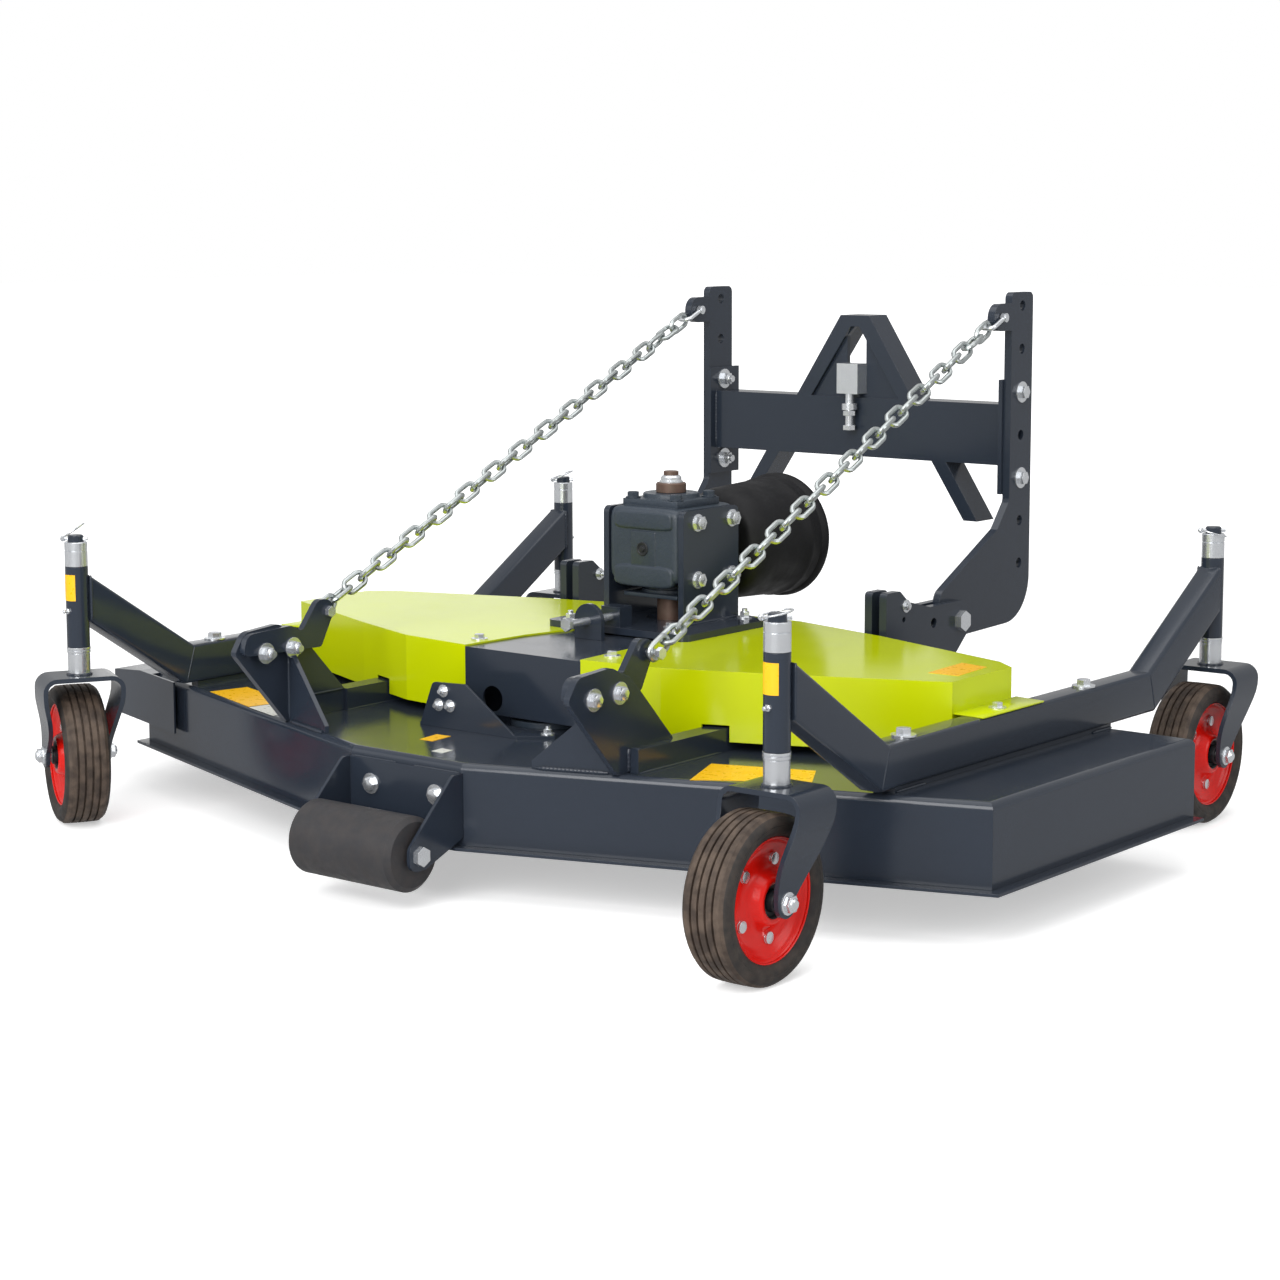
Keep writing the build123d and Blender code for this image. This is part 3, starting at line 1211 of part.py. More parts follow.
def make_chains():
    """Two check chains as separate linked rings, each a quarter turn from the one before."""
    pin, bow, direction = chain_line()
    start = pin - direction * ANCHOR_PIN_RADIUS
    run = bow + direction * SHACKLE_WIRE_RADIUS - start
    link = chain_link(run.length / CHAIN_LINKS + SEAT_GAP)
    sideways = Vector(0, -run.Z, run.Y).cross(run)
    links = []
    for number in range(CHAIN_LINKS):
        centre = start + run * ((number + 0.5) / CHAIN_LINKS)
        place = Plane(origin=centre, x_dir=run, z_dir=sideways) * Rot(link_turn(number), 0, 0)
        links += (place * link).solids()
    return both_sides(Compound(children=links))


def make_shackles():
    """Bow shackles that hang the chains on the uprights' ears."""
    _, bow, direction = chain_line()
    half = SHACKLE_HALF_WIDTH
    run = SHACKLE_LENGTH
    path = FilletPolyline((half, 0), (half, -run), (-half, -run), (-half, 0), radius=SHACKLE_BEND)
    legs = sweep(Plane(origin=(half, 0, 0), z_dir=(0, -1, 0)) * Circle(SHACKLE_WIRE_RADIUS), path=path)
    pin_half = half + SHACKLE_WIRE_RADIUS + 2
    legs += rod((-pin_half, 0, 0), (pin_half, 0, 0), SHACKLE_PIN_RADIUS)
    for side in (-1, 1):
        legs += rod((side * (half - 4), 0, 0), (side * (half + 5), 0, 0), 2 * SHACKLE_WIRE_RADIUS)
    place = Plane(origin=bow + direction * run, x_dir=(1, 0, 0), z_dir=Vector(1, 0, 0).cross(direction))
    return both_sides(place * legs)


def castor_nodes():
    """Fork, hardware, rim and tyre of each castor, turned to its heading."""
    nodes = {}
    for name, x, y, heading in CASTORS:
        place = Pos(x, y, 0) * Rot(0, 0, heading - 270)
        nodes[f"fork_{name}"] = make_fork(place)
        nodes[f"fork_hardware_{name}"] = make_fork_hardware(place)
        nodes[f"rim_{name}"] = make_rim(place)
        nodes[f"tyre_{name}"] = make_tyre(place)
    return nodes


def blade_nodes():
    """One blade on its spindle for each spindle."""
    return {f"blade_{name}": make_blade(x, y, heading) for name, x, y, heading in SPINDLES}


def all_nodes():
    """Every piece of the mower by its name."""
    nodes = {
        "deck_shell": make_deck_shell(),
        "skid_rails": make_skid_rails(),
        "side_hood": make_side_hood(),
        "side_beams": make_side_beams(),
        "inner_rails": make_inner_rails(),
        "centre_box": make_centre_box(),
        "belt_covers": make_covers(),
        "gearbox_mount": make_gearbox_mount(),
        "gearbox": make_gearbox(),
        "gearbox_cap": make_gearbox_cap(),
        "shaft_guard": make_shaft_guard(),
        "input_shaft": make_input_shaft(),
        "output_shaft": make_output_shaft(),
        "tension_ear": make_tension_ear(),
        "tension_bolt": make_tension_bolt(),
        "front_bracket": make_front_bracket(),
        "chain_anchors": make_chain_anchors(),
        "anchor_arms": make_anchor_arms(),
        "anchor_bolts": make_anchor_bolts(),
        "chains": make_chains(),
        "shackles": make_shackles(),
        "roller_bracket": make_roller_bracket(),
        "roller_axle": make_roller_axle(),
        "roller": make_roller(),
        "spindle_housings": make_spindle_housings(),
        "pivot_plates": make_pivot_plates(),
        "pivot_bolts": make_pivot_bolts(),
        "uprights": make_uprights(),
        "hitch_frame": make_hitch_frame(),
        "latch_block": make_latch_block(),
        "latch_bolt": make_latch_bolt(),
    }
    nodes.update(blade_nodes())
    nodes.update(castor_nodes())
    return nodes


os.makedirs("parts", exist_ok=True)
for node_name, shape in all_nodes().items():
    export_step(shape, f"parts/{node_name}.step")
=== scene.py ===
"""Looks of a front rotary mower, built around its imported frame.

The part's own frame is in metres: +Z up, the mower travels towards -Y, the origin is on the ground
midway between the four castor stems. The sizes that the sub-assemblies hold are millimetres.
"""

from __future__ import annotations

import json
import logging
import math
from dataclasses import dataclass
from enum import Enum, IntEnum

import bmesh
import bpy
from mathutils import Matrix, Quaternion, Vector

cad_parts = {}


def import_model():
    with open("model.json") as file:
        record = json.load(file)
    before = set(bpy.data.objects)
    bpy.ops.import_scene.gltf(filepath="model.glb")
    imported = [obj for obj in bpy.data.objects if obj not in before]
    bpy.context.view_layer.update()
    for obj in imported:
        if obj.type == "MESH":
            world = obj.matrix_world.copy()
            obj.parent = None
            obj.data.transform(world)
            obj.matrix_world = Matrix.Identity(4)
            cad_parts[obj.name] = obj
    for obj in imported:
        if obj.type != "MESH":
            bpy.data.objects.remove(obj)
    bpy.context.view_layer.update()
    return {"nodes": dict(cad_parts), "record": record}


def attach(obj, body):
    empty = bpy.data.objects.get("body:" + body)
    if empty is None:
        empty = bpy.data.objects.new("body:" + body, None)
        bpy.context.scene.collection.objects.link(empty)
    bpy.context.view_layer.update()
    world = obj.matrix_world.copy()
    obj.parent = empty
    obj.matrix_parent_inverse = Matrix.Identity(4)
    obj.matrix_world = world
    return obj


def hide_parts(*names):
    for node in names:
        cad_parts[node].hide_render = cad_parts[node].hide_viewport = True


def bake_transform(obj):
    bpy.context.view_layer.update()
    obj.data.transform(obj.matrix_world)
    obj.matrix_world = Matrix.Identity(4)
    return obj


log = logging.getLogger("mower")

Point = tuple[float, float, float]
Colour = tuple[float, float, float, float]
Rows = list[tuple[float, float]]
Socket = bpy.types.NodeSocket
MM = 0.001
ON_AXIS = 1e-5  # radius in metres that a profile keeps where it meets its axis
STEM_X = 757.0
STEM_Y = 661.0
TUBE_LOW = 325.0
TUBE_HIGH = 468.0
TUBE_RADIUS = 20.0
TUBE_BORE = 14.15
DECK_TOP = 220.0
X_OUT = (1.0, 0.0, 0.0)
X_IN = (-1.0, 0.0, 0.0)
Y_FRONT = (0.0, -1.0, 0.0)
Y_REAR = (0.0, 1.0, 0.0)
Z_UP = (0.0, 0.0, 1.0)
WHITE = (1.0, 1.0, 1.0, 1.0)
SQUARE = ((-1, -1), (1, -1), (1, 1), (-1, 1))


class Side(IntEnum):
    """The two sides of the machine, as the sign of x."""

    RIGHT = 1
    LEFT = -1


class Fastening(Enum):
    """What shows at the end of a bolt."""

    HEAD = "head"
    NUT = "nut"
    ROUND = "round"
    PLAIN = "plain"


def srgb(*levels: int) -> Colour:
    """Turns a colour written in 0 to 255 into linear light with a full alpha."""
    shares = [level / 255 for level in levels]
    return (*(s / 12.92 if s <= 0.04045 else ((s + 0.055) / 1.055) ** 2.4 for s in shares), 1.0)


def look(name: str) -> bpy.types.Material:
    """Finds the material of a finish by the finish's name."""
    return bpy.data.materials[f"{name}_look"]


def add_object(name: str, data: bpy.types.ID) -> bpy.types.Object:
    """Puts a new object in the scene.

    Args:
        name: Name of the object.
        data: Its mesh, camera or light.

    Returns:
        The new object.
    """
    made = bpy.data.objects.new(name, data)
    bpy.context.scene.collection.objects.link(made)
    return made


def fit(piece: bpy.types.Object, body: str, slot: str, *replaced: str) -> None:
    """Puts a piece on a body.

    Args:
        piece: The piece, at the origin.
        body: Name of the body that it moves with.
        slot: Material slot of the record; not used.
        replaced: Nodes that it stands for.
    """
    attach(piece, body)
    if replaced:
        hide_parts(*replaced)
    log.info("%s rides on %s", piece.name, body)


def at(x: float, y: float, z: float) -> Vector:
    """Point in metres from millimetres."""
    return Vector((x, y, z)) * MM


def facing(centre: Point | Vector, axis: Point) -> Matrix:
    """Place of a turned piece, with its local origin at a centre and its local X along an axis."""
    return Matrix.Translation(centre) @ Vector(axis).to_track_quat("X", "Z").to_matrix().to_4x4()


def arc(first: float, last: float, steps: int) -> Rows:
    """Cosines and sines of evenly spaced directions between two angles in degrees."""
    turns = [math.radians(first + (last - first) * step / steps) for step in range(steps + 1)]
    return [(math.cos(turn), math.sin(turn)) for turn in turns]


def circle(count: int) -> Rows:
    """Cosines and sines of evenly spaced directions round a full turn."""
    return arc(0.0, 360.0, count)[:-1]


def shade(work: bmesh.types.BMesh, mesh: bpy.types.Mesh, smooth: float = 35.0) -> None:
    """Writes a work mesh back, shaded smooth but for its sharp edges.

    Args:
        work: The work mesh, which this frees.
        mesh: The mesh that takes it.
        smooth: Edges sharper than this many degrees stay sharp.
    """
    for face in work.faces:
        face.smooth = True
    for edge in work.edges:
        edge.smooth = len(edge.link_faces) == 2 and edge.calc_face_angle(0) < math.radians(smooth)
    work.to_mesh(mesh)
    work.free()


class Tree:
    """Node tree with short ways to add its nodes."""

    def __init__(self, tree: bpy.types.NodeTree) -> None:
        """Starts with an empty tree."""
        self.tree = tree
        self.tree.nodes.clear()

    def node(self, kind: str, inputs: dict | None = None, out: str | int = 0, **settings: object) -> Socket:
        """Adds a node.

        Args:
            kind: Blender's name of the node type.
            inputs: Sockets or plain values of its inputs, by name or number. None leaves one as it is.
            out: Name or number of the output that is wanted.
            settings: Values of the node's own fields.

        Returns:
            The output.
        """
        made = self.tree.nodes.new(kind)
        for key, value in settings.items():
            setattr(made, key, value)
        for key, value in (inputs or {}).items():
            if isinstance(value, Socket):
                self.tree.links.new(value, made.inputs[key])
            elif value is not None:
                made.inputs[key].default_value = value
        return made.outputs[out]

    def reckon(self, operation: str, first: object, second: object) -> Socket:
        """Adds a sum on two values."""
        return self.node("ShaderNodeMath", {0: first, 1: second}, operation=operation)

    def end(self, kind: str, value: Socket) -> None:
        """Ends the tree in an output node."""
        self.tree.links.new(value, self.tree.nodes.new(kind).inputs[0])


# Finishes.


class Graph(Tree):
    """Material that is laid down node by node."""

    def __init__(self, name: str) -> None:
        """Starts an empty material.

        Args:
            name: Name of its finish.
        """
        material = bpy.data.materials.new(f"{name}_look")
        material.use_nodes = True
        super().__init__(material.node_tree)
        self.place = self.node("ShaderNodeTexCoord", out="Object")

    def noise(self, scale: float, detail: float) -> Socket:
        """Adds noise on the object's own place, by its repeats per metre and its levels."""
        inputs = {"Scale": scale, "Detail": detail, "Vector": self.place}
        return self.node("ShaderNodeTexNoise", inputs, "Fac")

    def spread(self, value: Socket, low: float, high: float, to_low: float, to_high: float) -> Socket:
        """Maps the range from low to high to another range, held at its ends."""
        return self.node("ShaderNodeMapRange", {
            "Value": value, "From Min": low, "From Max": high, "To Min": to_low, "To Max": to_high}, "Result")

    def tint(self, share: Socket, first: Colour | Socket, second: Colour | Socket) -> Socket:
        """Mixes two colours: a share of 0 gives the first and 1 the second."""
        return self.node("ShaderNodeMix", {"Factor": share, 6: first, 7: second}, 2, data_type="RGBA")

    def upward(self) -> Socket:
        """How far a surface faces up, from -1 to 1."""
        return self.node("ShaderNodeSeparateXYZ", {0: self.node("ShaderNodeNewGeometry", out="Normal")}, "Z")


@dataclass(frozen=True)
class Finish:
    """Mottled colour, under a layer where a finish has one, with uneven gloss and a fine relief.

    A noise is written as its repeats per metre and its levels, and a relief with its height in
    metres after them. The shift is how much lighter or darker the mottle gets.
    """

    name: str
    colour: Colour
    roughness: float = 0.3
    shift: float = 0.88
    mottle: tuple[float, float] = (60.0, 5.0)
    gloss: tuple[float, float] = (90.0, 3.0)
    gloss_range: tuple[float, float] = (0.8, 1.3)
    relief: tuple[Point, ...] = ((300.0, 2.0, 0.00004),)
    edge: float | None = None
    metallic: float = 0.0
    specular: float = 0.5
    layer_colour: Colour = srgb(120, 112, 96)

    def layer(self, graph: Graph) -> Socket | None:
        """How much of the layer's colour shows, or None without a layer."""
        return None

    def build(self) -> None:
        """Builds the material."""
        graph = Graph(self.name)
        second = (*(min(1.0, share * self.shift) for share in self.colour[:3]), 1.0)
        colour = graph.tint(graph.noise(*self.mottle), self.colour, second)
        layer = self.layer(graph)
        if layer is not None:
            colour = graph.tint(layer, colour, self.layer_colour)
        least, most = (self.roughness * share for share in self.gloss_range)
        rough = graph.spread(graph.noise(*self.gloss), 0.3, 0.7, least, most)
        normal = None
        if self.edge:
            normal = graph.node("ShaderNodeBevel", {"Radius": self.edge}, "Normal", samples=4)
        for scale, detail, height in self.relief:
            bumps = {"Distance": height, "Height": graph.noise(scale, detail), "Normal": normal}
            normal = graph.node("ShaderNodeBump", bumps, "Normal")
        graph.end("ShaderNodeOutputMaterial", graph.node("ShaderNodeBsdfPrincipled", {
            "Base Color": colour, "Roughness": rough, "Metallic": self.metallic,
            "Specular IOR Level": self.specular, "Normal": normal}))


@dataclass(frozen=True)
class SprayPaint(Finish):
    """Sprayed gloss paint with orange peel, a little dust and broken edges."""

    shift: float = 0.93
    mottle: tuple[float, float] = (3.0, 4.0)
    gloss: tuple[float, float] = (14.0, 5.0)
    gloss_range: tuple[float, float] = (0.85, 1.2)
    relief: tuple[Point, ...] = ((420.0, 2.0, 0.00008),)
    edge: float = 1.2 * MM
    layer_colour: Colour = srgb(150, 142, 128)
    dust: float = 0.05

    def layer(self, graph: Graph) -> Socket:
        """Dust that lies in patches on what faces up."""
        dusty = graph.spread(graph.upward(), 0.2, 1.0, 0.0, self.dust)
        return graph.reckon("MULTIPLY", dusty, graph.spread(graph.noise(9.0, 6.0), 0.42, 0.7, 0.2, 1.0))


@dataclass(frozen=True)
class CastPaint(Finish):
    """Satin paint over a rough sand casting."""

    roughness: float = 0.38
    shift: float = 0.75
    mottle: tuple[float, float] = (30.0, 6.0)
    gloss: tuple[float, float] = (60.0, 4.0)
    relief: tuple[Point, ...] = ((160.0, 5.0, 0.0007), (900.0, 3.0, 0.0002))
    edge: float = 3 * MM


@dataclass(frozen=True)
class PlatedSteel(Finish):
    """Zinc plated or bare steel with a faint mottle and soft scratches."""

    shift: float = 0.94
    mottle: tuple[float, float] = (40.0, 3.0)
    gloss: tuple[float, float] = (60.0, 3.0)
    gloss_range: tuple[float, float] = (0.92, 1.08)
    relief: tuple[Point, ...] = ((400.0, 2.0, 0.000008),)
    edge: float = 0.6 * MM
    metallic: float = 0.85
    stained: float = 0.06

    def layer(self, graph: Graph) -> Socket:
        """Stains in patches."""
        return graph.spread(graph.noise(60.0, 5.0), 0.45, 0.75, 0.0, self.stained)


@dataclass(frozen=True)
class Rubber(Finish):
    """Moulded rubber, with dry earth on it where it has run on the ground."""

    roughness: float = 0.62
    shift: float = 0.7
    mottle: tuple[float, float] = (22.0, 6.0)
    gloss: tuple[float, float] = (70.0, 4.0)
    gloss_range: tuple[float, float] = (0.85, 1.2)
    relief: tuple[Point, ...] = ((500.0, 3.0, 0.00018),)
    edge: float = 0.8 * MM
    specular: float = 0.35
    layer_colour: Colour = srgb(102, 87, 75)
    earth: float = 0.0

    def layer(self, graph: Graph) -> Socket:
        """Earth in patches."""
        return graph.spread(graph.noise(45.0, 8.0), 0.38, 0.66, 0.15 * self.earth, self.earth)


@dataclass(frozen=True)
class Moulded(Finish):
    """Moulded black plastic with a fine grain."""

    shift: float = 1.5
    mottle: tuple[float, float] = (18.0, 6.0)
    gloss: tuple[float, float] = (35.0, 4.0)
    gloss_range: tuple[float, float] = (0.8, 1.25)
    relief: tuple[Point, ...] = ((1100.0, 2.0, 0.00007),)
    edge: float = 1.0 * MM
    specular: float = 0.22


@dataclass(frozen=True)
class Film(Finish):
    """Printed film of a blank plate: one flat colour under a thin gloss."""


PAINT_DARK = srgb(42, 49, 60)
FINISHES = (
    SprayPaint("paint_dark", PAINT_DARK, roughness=0.15, dust=0.03),
    SprayPaint("paint_lime", srgb(198, 212, 0), roughness=0.16, dust=0.0, specular=0.4),
    SprayPaint("paint_red", srgb(216, 22, 12), roughness=0.22, dust=0.0, edge=0.8 * MM, specular=0.4),
    CastPaint("paint_cast", srgb(50, 60, 71)),
    PlatedSteel("zinc", srgb(232, 235, 239), roughness=0.24, stained=0.03),
    PlatedSteel("zinc_chain", srgb(194, 200, 200), roughness=0.3, stained=0.2, metallic=0.95),
    PlatedSteel("primed_steel", srgb(104, 82, 72), roughness=0.5, stained=0.3, metallic=0.5),
    SprayPaint("weld_paint", PAINT_DARK, roughness=0.22, edge=0.3 * MM),
    PlatedSteel("bare_steel", srgb(164, 160, 152), roughness=0.36, stained=0.3),
    PlatedSteel("blade_steel", srgb(120, 118, 114), roughness=0.45, stained=0.4),
    Moulded("guard_plastic", srgb(19, 19, 21), roughness=0.55),
    Rubber("roller_rubber", srgb(54, 54, 57), earth=0.1, roughness=0.5, relief=((700.0, 3.0, 0.00018),)),
    Rubber("tyre_rubber", srgb(40, 39, 39), earth=0.25),
    Rubber("tread_rubber", srgb(56, 46, 40), earth=0.7),
    # dark hub colour; the gearbox plug also wears it as painted shade standing for its recess
    CastPaint("hub_dark_and_plug_shade", srgb(30, 32, 36)),
    Film("yellow_film", srgb(250, 190, 10)),
    Film("pale_film", srgb(214, 214, 206)),
)


# Shapes.


class Shape:
    """Mesh builder that gathers the solids of one piece before they become an object."""

    def __init__(self) -> None:
        """Starts an empty shape."""
        self.mesh = bmesh.new()

    def faces(self, rings: list[list[Vector]], closed: bool = False) -> None:
        """Joins rings of equal length into a skin.

        Args:
            rings: Rows of points, each row a closed ring.
            closed: Joins the last ring to the first. Otherwise a face fills each of the two.
        """
        rows = [[self.mesh.verts.new(point) for point in ring] for ring in rings]
        count = len(rows[0])
        for low, high in zip(rows, rows[1:] + rows[:1] if closed else rows[1:]):
            for step in range(count):
                following = (step + 1) % count
                self.mesh.faces.new((low[step], low[following], high[following], high[step]))
        if not closed:
            self.mesh.faces.new(rows[0][::-1])
            self.mesh.faces.new(rows[-1])

    def lathe(self, rows: Rows, place: Matrix, steps: int = 48) -> None:
        """Turns a profile about the local X axis.

        Args:
            rows: Place along the axis and radius, in millimetres. A profile that starts on the axis
                ends there too, and any other is a loop.
            place: Matrix from the local frame to the part's frame.
            steps: Number of sides of the turned body.
        """
        rings = []
        for along, radius in rows:
            reach = max(radius * MM, ON_AXIS)
            rings.append([place @ Vector((along * MM, reach * c, reach * s)) for c, s in circle(steps)])
        self.faces(rings, closed=rows[0][1] > 0)

    def prism(self, outline: list[Vector], depth: Vector) -> None:
        """Adds a straight plate from the corners of one face and the way to the other."""
        self.faces([outline, [corner + depth for corner in outline]])

    def sweep(self, path: list[Vector], radii: list[float], sides: int, closed: bool = False) -> None:
        """Adds a round bar along a path.

        Args:
            path: Points of the centre line.
            radii: Radius at each point in metres.
            sides: Number of sides of the bar.
            closed: Joins the end to the start.
        """
        padded = [path[-1], *path, path[0]] if closed else [path[0], *path, path[-1]]
        tangents = [(after - before).normalized() for before, after in zip(padded, padded[2:])]
        normal = tangents[0].orthogonal().normalized()
        rings = []
        for point, tangent, radius in zip(path, tangents, radii):
            normal = (normal - tangent * normal.dot(tangent)).normalized()
            across = tangent.cross(normal)
            rings.append([point + (normal * c + across * s) * radius for c, s in circle(sides)])
        self.faces(rings, closed)

    def soften(self, width: float) -> None:
        """Rounds the edges of more than 50 degrees that the shape has so far.

        Args:
            width: Width of the rounding in metres.
        """
        bmesh.ops.recalc_face_normals(self.mesh, faces=self.mesh.faces)
        limit = math.radians(50)
        sharp = [e for e in self.mesh.edges if len(e.link_faces) == 2 and e.calc_face_angle(0) > limit]
        bmesh.ops.bevel(self.mesh, geom=sharp, offset=width, segments=2, profile=0.5, affect="EDGES",
                        clamp_overlap=True)

    def done(self, name: str, finish: str, smooth: float = 35.0) -> bpy.types.Object:
        """Turns the shape into an object at the origin.

        Args:
            name: Name of the piece.
            finish: Name of its finish.
            smooth: Edges sharper than this many degrees stay sharp.

        Returns:
            The new object.
        """
        bmesh.ops.remove_doubles(self.mesh, verts=self.mesh.verts, dist=1e-6)
        bmesh.ops.recalc_face_normals(self.mesh, faces=self.mesh.faces)
        data = bpy.data.meshes.new(name)
        shade(self.mesh, data, smooth)
        data.materials.append(look(finish))
        return add_object(name, data)


def bead(shape: Shape, start: Vector, end: Vector, radius: float) -> None:
    """Adds a rippled weld bead along a corner.

    Args:
        shape: The shape that it joins.
        start: Start of the bead in metres.
        end: End of the bead in metres.
        radius: Half width in millimetres.
    """
    ripple = 2.2 * MM
    steps = max(4, int((end - start).length / ripple))
    shares = [step / steps for step in range(steps + 1)]
    radii = [radius * MM * min(1.0, 0.45 + 6 * min(share, 1 - share)) * (0.86 + 0.14 * math.sin(2.1 * step))
             for step, share in enumerate(shares)]
    shape.sweep([start + (end - start) * share for share in shares], radii, 7)


# What repeats.


@dataclass(frozen=True)
class Spot:
    """Place of one repeated form: its turn is a quaternion and its size a plain scale."""

    place: Vector
    turn: Quaternion
    size: float = 1.0


class Pattern(Tree):
    """Geometry node tree that sets one form on many spots."""

    def __init__(self, name: str) -> None:
        """Starts the tree with a geometry input and output.

        Args:
            name: Name of the tree.
        """
        super().__init__(bpy.data.node_groups.new(name, "GeometryNodeTree"))
        self.values: dict[str, object] = {}
        for way in ("INPUT", "OUTPUT"):
            self.tree.interface.new_socket("Geometry", in_out=way, socket_type="NodeSocketGeometry")
        self.start = self.tree.nodes.new("NodeGroupInput")

    def entry(self, name: str, value: float | int | bpy.types.Material) -> Socket:
        """Adds a named input.

        Args:
            name: Name of the input.
            value: Value that it is given on the modifier.

        Returns:
            The socket inside the tree.
        """
        kind = {float: "NodeSocketFloat", int: "NodeSocketInt"}.get(type(value), "NodeSocketMaterial")
        item = self.tree.interface.new_socket(name, in_out="INPUT", socket_type=kind)
        self.values[item.identifier] = value
        return self.start.outputs[name]

    def cylinder(self, sides: int, radius: Socket, depth: Socket) -> Socket:
        """Adds a cylinder about its own Z axis."""
        sizes = {"Vertices": sides, "Radius": radius, "Depth": depth}
        return self.node("GeometryNodeMeshCylinder", sizes, "Mesh")

    def stack(self, *forms: Socket) -> Socket:
        """Joins several forms into one.

        Args:
            forms: The forms.

        Returns:
            The joined form.
        """
        made = self.tree.nodes.new("GeometryNodeJoinGeometry")
        for form in forms:
            self.tree.links.new(form, made.inputs["Geometry"])
        return made.outputs["Geometry"]

    def lifted(self, form: Socket, height: Socket) -> Socket:
        """Moves a form along its own Z axis."""
        way = self.node("ShaderNodeCombineXYZ", {"Z": height})
        return self.node("GeometryNodeTransform", {"Geometry": form, "Translation": way})

    def scatter(self, form: Socket, finish: str) -> None:
        """Sets the form on every spot, makes it real and gives it its finish.

        Args:
            form: The form.
            finish: Name of its finish.
        """
        turn, size = (
            self.node("GeometryNodeInputNamedAttribute", {"Name": name}, "Attribute", data_type=kind)
            for name, kind in (("turn", "QUATERNION"), ("size", "FLOAT")))
        spread = {"Points": self.start.outputs["Geometry"], "Instance": form, "Rotation": turn, "Scale": size}
        real = self.node("GeometryNodeRealizeInstances", {
            "Geometry": self.node("GeometryNodeInstanceOnPoints", spread, "Instances")})
        painted = self.node("GeometryNodeSetMaterial", {
            "Geometry": real, "Material": self.entry("Finish", look(finish))})
        self.end("NodeGroupOutput", painted)

    def run(self, name: str, finish: str, spots: list[Spot]) -> bpy.types.Object:
        """Runs the tree on a list of spots and keeps the result as a plain mesh.

        Args:
            name: Name of the piece.
            finish: Name of its finish.
            spots: Where the form stands.

        Returns:
            The finished piece at the origin.
        """
        data = bpy.data.meshes.new(name + "_spots")
        data.from_pydata([tuple(spot.place) for spot in spots], [], [])
        turns = data.attributes.new("turn", "QUATERNION", "POINT")
        turns.data.foreach_set("value", [part for spot in spots for part in spot.turn])
        sizes = data.attributes.new("size", "FLOAT", "POINT")
        sizes.data.foreach_set("value", [spot.size for spot in spots])
        carrier = add_object(name + "_spots", data)
        modifier = carrier.modifiers.new("pattern", "NODES")
        modifier.node_group = self.tree
        for key, value in self.values.items():
            modifier[key] = value
        depsgraph = bpy.context.evaluated_depsgraph_get()
        mesh = bpy.data.meshes.new_from_object(carrier.evaluated_get(depsgraph), depsgraph=depsgraph)
        bpy.data.objects.remove(carrier)
        bpy.data.meshes.remove(data)
        mesh.name = name
        mesh.polygons.foreach_set("material_index", [0] * len(mesh.polygons))
        mesh.materials.clear()
        mesh.materials.append(look(finish))
        work = bmesh.new()
        work.from_mesh(mesh)
        shade(work, mesh)
        return add_object(name, mesh)


def fastener_pattern(kind: Fastening, finish: str) -> Pattern:
    """Bolt head or nut on a washer, drawn 19 mm across its flats with its axis along Z.

    Args:
        kind: What shows.
        finish: Name of the finish.

    Returns:
        The tree.
    """
    pattern = Pattern(f"fastener_{kind.value}_{finish}")
    corner_mm, tall_mm, plate_mm, thick_mm, sides = {
        Fastening.HEAD: (10.9, 8.0, 17.0, 2.4, 6),
        Fastening.NUT: (10.9, 10.0, 17.0, 2.4, 6),
        Fastening.ROUND: (15.0, 6.0, 15.6, 1.2, 20),
        Fastening.PLAIN: (11.0, 8.5, 13.4, 2.2, 6),
    }[kind]
    corner = pattern.entry("Corner Radius", corner_mm * MM)
    tall = pattern.entry("Height", tall_mm * MM)
    plate = pattern.entry("Washer Radius", plate_mm * MM)
    thick = pattern.entry("Washer Thickness", thick_mm * MM)
    crown = pattern.node("GeometryNodeMeshCone", {
        "Vertices": 24, "Radius Bottom": pattern.reckon("MULTIPLY", corner, 0.86),
        "Radius Top": pattern.reckon("MULTIPLY", corner, 0.72),
        "Depth": pattern.reckon("MULTIPLY", tall, 0.09),
    }, "Mesh")
    top = pattern.reckon("ADD", thick, tall)
    forms = [
        pattern.lifted(pattern.cylinder(28, plate, thick), pattern.reckon("MULTIPLY", thick, 0.5)),
        pattern.lifted(pattern.cylinder(sides, corner, tall),
                       pattern.reckon("ADD", thick, pattern.reckon("MULTIPLY", tall, 0.5))),
        pattern.lifted(crown, top),
    ]
    if kind is Fastening.NUT:
        reach = pattern.entry("Stud Length", 7.0 * MM)
        stud = pattern.cylinder(16, pattern.entry("Stud Radius", 6.0 * MM), reach)
        forms.append(pattern.lifted(stud, pattern.reckon("ADD", top, pattern.reckon("MULTIPLY", reach, 0.5))))
    pattern.scatter(pattern.stack(*forms), finish)
    return pattern


@dataclass
class Fasteners:
    """Every small bolt of one body, with its nuts."""

    body: str
    prefix: str
    rows: tuple[tuple[Fastening, Point, Point, float, bool], ...]
    finish: str = "zinc"
    drawn: float = 19.0

    def spots(self, kind: Fastening) -> list[Spot]:
        """Spots of one kind, with their mirror images where a row asks for them.

        Args:
            kind: The kind.

        Returns:
            The spots.
        """
        found = []
        for row_kind, (x, y, z), way, flats, paired in self.rows:
            for side in Side if paired else (Side.RIGHT,):
                if row_kind is kind:
                    turn = Vector((way[0] * side, way[1], way[2])).to_track_quat("Z", "Y")
                    found.append(Spot(at(x * side, y, z), turn, flats / self.drawn))
        return found

    def build(self) -> None:
        """Makes one piece of each kind."""
        for kind in Fastening:
            spots = self.spots(kind)
            if spots:
                pattern = fastener_pattern(kind, self.finish)
                fit(pattern.run(f"{self.prefix}_{kind.value}s", self.finish, spots), self.body, self.finish)


